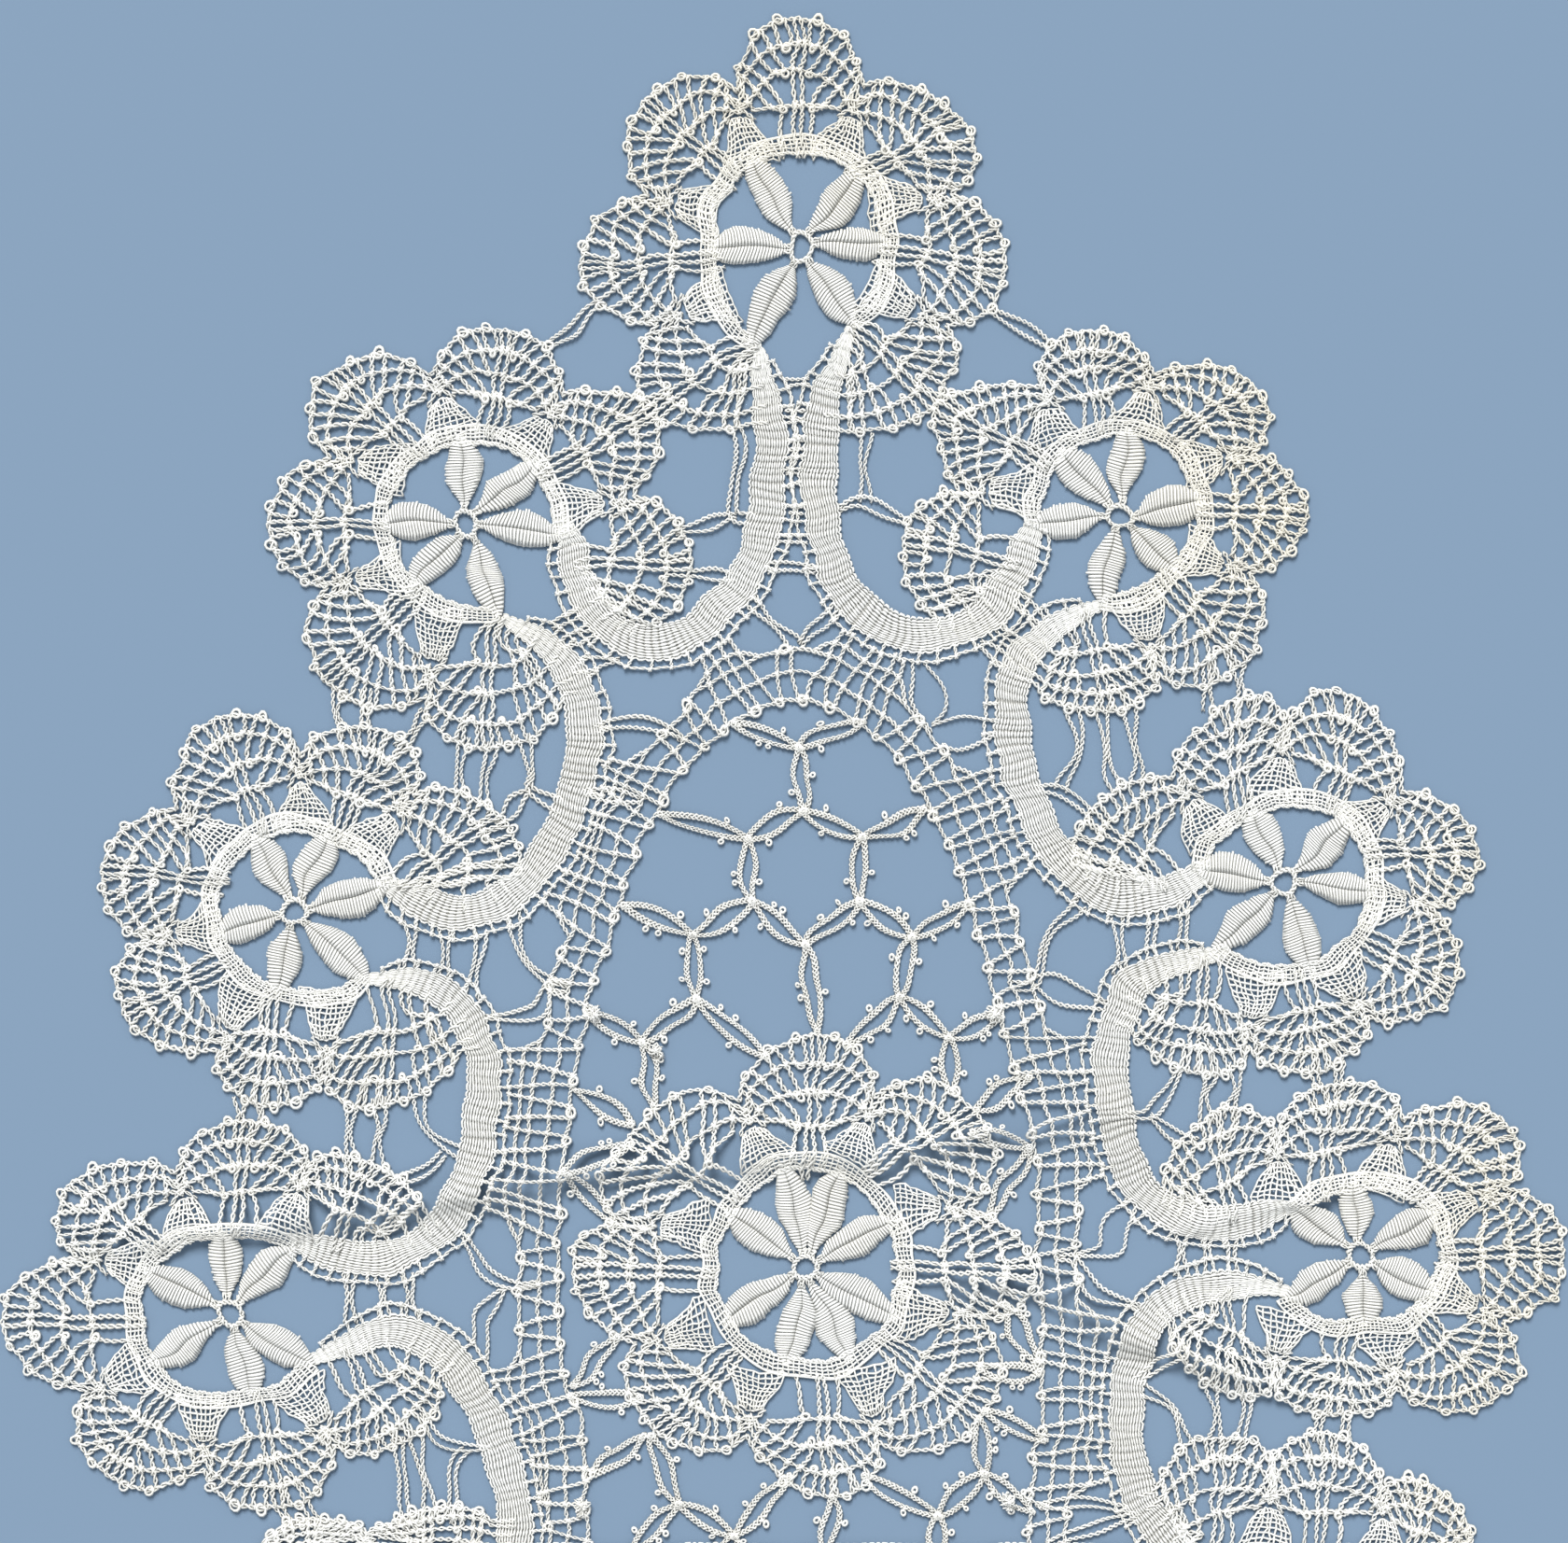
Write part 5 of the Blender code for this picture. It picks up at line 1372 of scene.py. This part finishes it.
# %% bars of the filling
BAR_BOW = 1.05
BAR_SHARES = (0.22, 0.78)
BAR_SHOULDER = 0.72
BAR_PAST = 0.4
PICOT_SHARES = (0.3, 0.45, 0.58, 0.7)
TWO_PICOTS = 0.3
PICOT_STEM = 0.75


def bar(skein, row):
    start, end = np.array([row.x0, row.y0]), np.array([row.x1, row.y1])
    _, ahead, across = ways(start, end)
    for side in (-1.0, 1.0):
        bow = across * BAR_BOW * side * rng.uniform(0.8, 1.15)
        early, late = [start + (end - start) * share + bow * BAR_SHOULDER for share in BAR_SHARES]
        past = ahead * BAR_PAST
        arm = smooth([start - past, early, (start + end) / 2 + bow, late, end + past])
        plait(skein, arm)
        for share in rng.choice(PICOT_SHARES, 1 + (rng.uniform() < TWO_PICOTS), replace=False):
            root = arm[int(share * len(arm))]
            strand(skein, raised(np.array([root, root + across * side * PICOT_STEM])), 0.22)
            picot(skein, root + across * side * 0.82, across * side, rng.uniform(0.26, 0.36), 0.23)
    knot(skein, start)
    knot(skein, end)


for row in BARS:
    bar(skein, row)
print("the net has", skein.count, "points so far")

# %% [markdown]
# An old mat has a few worn places where a bar has frayed. A tuft is sixty short loose threads that
# stand out in all directions like a ball of fluff, at random lengths and heights.

# %% tufts
TUFTS = ((-25.8, -29.8), (28.6, -29.6), (-17.4, -34.6), (-27.3, -96.8), (30.4, -95.9))
TUFT_THREADS = 60
TUFT_REACH = (0.5, 1.35)
TUFT_BEND = 0.5
TUFT_HEIGHTS = (0.2, 1.4)
TUFT_RADIUS = 0.14


def tuft(skein, place):
    place = np.array(place)
    for turn in rng.uniform(0.0, 2 * math.pi, TUFT_THREADS):
        way = np.array([math.cos(turn), math.sin(turn)]) * rng.uniform(*TUFT_REACH)
        side = np.array([-way[1], way[0]]) * rng.uniform(-TUFT_BEND, TUFT_BEND)
        ends = np.array([place - way * 0.3, place + way * 0.6 + side, place + way])
        strand(skein, np.column_stack([ends, rng.uniform(*TUFT_HEIGHTS, 3)]), TUFT_RADIUS, 0.0)


for place in TUFTS:
    tuft(skein, place)
finished(skein, "net", linen)

# %% [markdown]
# Ties hold the parts together: loose twisted pairs that go from tape to tape, from fan to fan and
# from fans to the arch, mostly two side by side. Upright ones draw together midway, and level ones
# part. Their ends go down under what they join, so no loose end shows, and those near the arch run
# on to its middle pair.

# %% plan of the ties
JOINS = (
    ((-25.0, 66.6), (-32.6, 61.0)), ((28.0, 66.6), (36.6, 60.8)),
    ((-7.0, 50.6), (-6.0, 45.0), (-7.0, 38.6), (-4.0, 37.6)),
    ((-14.6, 35.6), (-10.0, 37.4), (-6.4, 38.2)), ((-12.8, 30.4), (-6.0, 29.8)),
    ((11.3, 49.4), (10.9, 44.6), (10.9, 40.0)), ((7.4, 38.8), (10.9, 40.0), (17.6, 36.8)),
    ((-26.4, 9.0), (-20.5, 10.2), (-15.4, 8.8)), ((-27.4, 0.4), (-19.8, -0.6)),
    ((-37.0, -15.8), (-35.8, -21.5), (-31.4, -25.6)), ((-31.4, -25.8), (-34.2, -29.4), (-40.8, -30.2)),
    ((40.6, -14.6), (36.4, -18.6), (34.2, -25.2)), ((39.6, -63.4), (42.3, -67.5), (48.4, -69.4)),
    ((-43.6, -59.4), (-40.8, -64.6), (-36.4, -66.8)), ((-49.4, -84.2), (-46.5, -87.8), (-39.6, -89.0)),
    ((-43.0, -88.8), (-45.2, -92.2), (-44.8, -99.0)), ((-52.6, -87.0), (-51.2, -99.0)),
    ((-50.4, -86.6), (-47.8, -98.6)), ((-49.8, -40.8), (-48.6, -45.6), (-44.0, -48.8)),
    ((-46.5, -48.7), (-49.2, -51.4), (-54.0, -52.4)),
    ((54.2, -36.8), (52.2, -40.4), (49.0, -43.4), (45.6, -43.0)),
    ((49.4, -43.5), (53.0, -46.2), (56.6, -47.0)), ((-74.0, -41.4), (-74.4, -45.0)),
    ((-71.2, -41.4), (-71.4, -45.0)), ((-58.8, -40.8), (-59.2, -46.0), (-58.6, -50.6)),
    ((-55.2, -41.4), (-54.9, -46.0), (-55.8, -51.0)), ((71.8, -36.4), (73.4, -40.4)),
    ((75.5, -36.4), (75.8, -40.2)), ((57.8, -36.8), (57.3, -44.6)), ((61.6, -36.4), (60.8, -44.4)),
    ((73.0, -83.4), (73.0, -88.0)), ((76.4, -83.4), (76.8, -88.0)), ((58.4, -79.6), (58.8, -88.4)),
    ((62.4, -79.8), (62.9, -84.0), (61.8, -88.6)), ((47.8, -80.2), (51.2, -77.0), (55.0, -75.4)),
    ((48.6, -80.8), (53.0, -84.0), (55.6, -89.6)), ((-60.4, 14.4), (-61.0, 11.5), (-59.4, 8.0)),
    ((-57.0, 14.2), (-56.6, 8.6)), ((-43.8, 8.0), (-44.3, 3.0), (-43.8, -1.4)),
    ((-40.0, 7.2), (-40.3, 2.0), (-41.4, -2.0)),
    ((-35.9, 8.6), (-34.6, 3.0), (-34.3, 0.3), (-30.0, -1.6)), ((-48.6, 11.4), (-52.2, 6.2)),
    ((-34.3, 0.3), (-39.6, -3.4)), ((58.0, 17.6), (57.8, 11.6)), ((61.9, 18.2), (62.3, 11.8)),
    ((39.2, 12.0), (40.2, 6.6), (37.8, 0.6)), ((43.2, 12.4), (44.0, 4.0), (45.6, 0.6)),
    ((47.0, 12.0), (48.1, 5.0), (48.2, 1.0)), ((42.0, -2.8), (37.8, 0.5), (34.0, 1.0)),
    ((-50.8, -17.0), (-51.2, -24.0)), ((-46.0, -18.0), (-46.5, -25.0)),
    ((-41.3, -18.4), (-42.4, -27.6)), ((45.4, -16.4), (46.0, -24.6)), ((50.0, -15.8), (50.0, -22.6)),
    ((54.4, -14.4), (54.3, -21.0)), ((-59.0, -65.0), (-59.0, -71.8)), ((-54.8, -65.2), (-54.6, -71.4)),
    ((-51.2, -65.0), (-50.6, -71.2)), ((54.2, -59.4), (54.0, -65.4)), ((57.8, -59.8), (57.8, -65.0)),
    ((61.0, -59.6), (61.3, -65.4)), ((-4.8, 26.8), (1.4, 20.5)), ((7.6, 26.2), (1.8, 20.5)),
    ((34.6, -96.6), (41.6, -96.0), (47.4, -97.0)), ((36.0, -102.0), (43.0, -99.6), (48.6, -97.4)),
    ((-31.6, 22.8), (-27.2, 25.6)), ((-31.0, 20.0), (-25.4, 22.4)), ((-29.8, 17.0), (-22.6, 18.6)),
    ((35.6, 23.4), (31.2, 27.4)), ((33.4, 20.0), (28.6, 23.4)), ((31.6, 17.4), (26.4, 20.6)),
    ((-68.9, -96.6), (-67.6, -99.6)), ((-65.6, -95.8), (-63.9, -98.8)),
)

# Single pairs that go the same way as the ties.
LOOPS = (
    ((17.8, 18.6), (17.2, 13.0), (20.2, 8.4)), ((19.3, 18.4), (22.0, 13.8), (20.3, 9.2)),
    ((20.3, 9.4), (24.0, 10.9), (29.4, 9.8)), ((21.4, 7.0), (23.6, 6.2), (29.4, 7.9)),
    ((34.0, -24.4), (37.8, -24.4), (43.6, -28.0)), ((34.2, -25.4), (37.0, -28.4), (43.4, -29.3)),
    ((46.6, -54.6), (43.2, -58.4), (42.8, -61.5), (39.6, -62.9)),
    ((47.4, -55.2), (46.9, -60.0), (45.5, -62.6), (39.6, -63.1)),
    ((-37.4, -67.0), (-41.8, -69.5), (-42.6, -75.0)), ((-37.4, -67.0), (-40.3, -71.6), (-40.6, -77.0)),
)
print(len(JOINS), "ties and", len(LOOPS), "single pairs")

# %% ties
TIE_SPREAD = 0.55
TIE_TURN = 1.7
TIE_WAIST = (0.1, 0.35)
ARCH_MIDDLE = smooth(ARCH, 0.8)
ARCH_NEAR = 3.4


def onto_arch(place):
    """The nearest place on the arch's middle pair, where a tie ends inside the arch."""
    gap = np.linalg.norm(ARCH_MIDDLE - np.array(place), axis=1)
    return [tuple(ARCH_MIDDLE[gap.argmin()])] if gap.min() < ARCH_NEAR else []


def tie(skein, stops):
    """Two twisted pairs side by side; upright ones draw together midway, level ones part."""
    stops = onto_arch(stops[0]) + list(stops) + onto_arch(stops[-1])
    path = even(smooth(stops, 0.5), 0.5)
    share = np.linspace(0.0, 1.0, len(path))
    upright = abs(path[-1, 1] - path[0, 1]) > abs(path[-1, 0] - path[0, 0])
    waist = rng.uniform(*TIE_WAIST) if upright else rng.uniform(-TIE_WAIST[1], -TIE_WAIST[0])
    spread = TIE_SPREAD + waist * np.cos(share * 2 * math.pi)
    for side in (-1.0, 1.0):
        twisted(skein, tucked(beside(path, side * spread)), turn=TIE_TURN)


skein = Skein()
for stops in JOINS:
    tie(skein, stops)
for stops in LOOPS:
    twisted(skein, tucked(even(smooth(stops, 0.5), 0.5)), turn=TIE_TURN)

# %% [markdown]
# The two top trails run down side by side, and rungs of twisted pairs hold them together like a
# ladder. The rungs come two by two, a millimetre apart, and lie a little lower than the tapes.

# %% ladder
Rung = namedtuple("Rung", "y left right")
LADDER = (Rung(56.1, -0.8, 4.6), Rung(51.9, -0.5, 3.8), Rung(47.8, -0.4, 3.3), Rung(43.9, -0.3, 3.2),
          Rung(39.3, -0.6, 3.4), Rung(35.0, -1.7, 3.9), Rung(30.9, -2.8, 5.2))
RUNG_APART = 0.5
RUNG_IN = 0.9
RUNG_HEIGHT = 0.35
RUNG_PAIR = (0.18, 0.2, 1.6)


def ladder(skein):
    for row in LADDER:
        for step in (-RUNG_APART, RUNG_APART):
            y = row.y + step + rng.normal(0.0, 0.06, 3)
            rung = np.column_stack([np.linspace(row.left + RUNG_IN, row.right - RUNG_IN, 3), y])
            twisted(skein, raised(rung, RUNG_HEIGHT), *RUNG_PAIR)


ladder(skein)
finished(skein, "ties", linen)

# %% [markdown]
# The mat's end is finished here by a straight footside, a narrow tape like the trails, with a few
# low fans standing on it. Nothing shows how the real mat goes on, and a plain edge is the way a
# lacemaker would end it. The fans have no flower behind them, so their feet lie on a straight line.

# %% footside
FOOTSIDE = (-71.5, 94.0, -104.1)
FOOTSIDE_HALF = 2.0


def footside(skein):
    left, right, y = FOOTSIDE
    path = even(np.array([[left, y], [right, y]]), TAPE_STEP)
    tape(skein, path, np.full(len(path), FOOTSIDE_HALF))


skein = Skein()
footside(skein)
for name in ("foot_left", "foot_right"):
    fans_and_wedges(skein, RIBS[name], None)
finished(skein, "footside", linen)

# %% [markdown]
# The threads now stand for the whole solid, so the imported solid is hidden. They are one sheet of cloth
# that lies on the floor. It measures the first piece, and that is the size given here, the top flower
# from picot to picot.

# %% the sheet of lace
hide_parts("lace")

# %% [markdown]
# White lace shows best on a plain coloured ground. The floor is a matt pale blue, lit softly from the
# top of the mat, so that every thread keeps a thin shadow on its lower side. A wide sun gives soft
# edges to the shadows, and a pale world fills them. A small lamp would make them hard and black.

# %% floor
FLOOR_BLUE = (0.163, 0.237, 0.331, 1.0)
bpy.ops.mesh.primitive_plane_add(size=3.0, location=(0.0, 0.0, -0.0001))
floor = bpy.context.object
floor.name = "floor"
cloth = Finish("floor")
cloth.shader.inputs["Base Color"].default_value = FLOOR_BLUE
cloth.shader.inputs["Roughness"].default_value = 0.9
floor.data.materials.append(cloth.material)
print("floor:", [round(v, 1) for v in floor.dimensions], "m")

# %% light
SUN_WAY = (0.18, -0.74, -0.86)
SKY = (0.9, 0.95, 1.0, 1.0)
lamp = bpy.data.lights.new("key", "SUN")
lamp.energy = 3.75
lamp.angle = math.radians(26.0)
holder = bpy.data.objects.new("key", lamp)
holder.rotation_euler = (-Vector(SUN_WAY)).to_track_quat("Z", "Y").to_euler()
bpy.context.scene.collection.objects.link(holder)
world = bpy.data.worlds.new("room")
world.use_nodes = True
world.node_tree.nodes["Background"].inputs["Color"].default_value = SKY
world.node_tree.nodes["Background"].inputs["Strength"].default_value = 0.64
bpy.context.scene.world = world
bpy.context.scene.view_settings.view_transform = "Standard"
print("sun:", lamp.energy, "with a width of", round(math.degrees(lamp.angle)), "degrees")
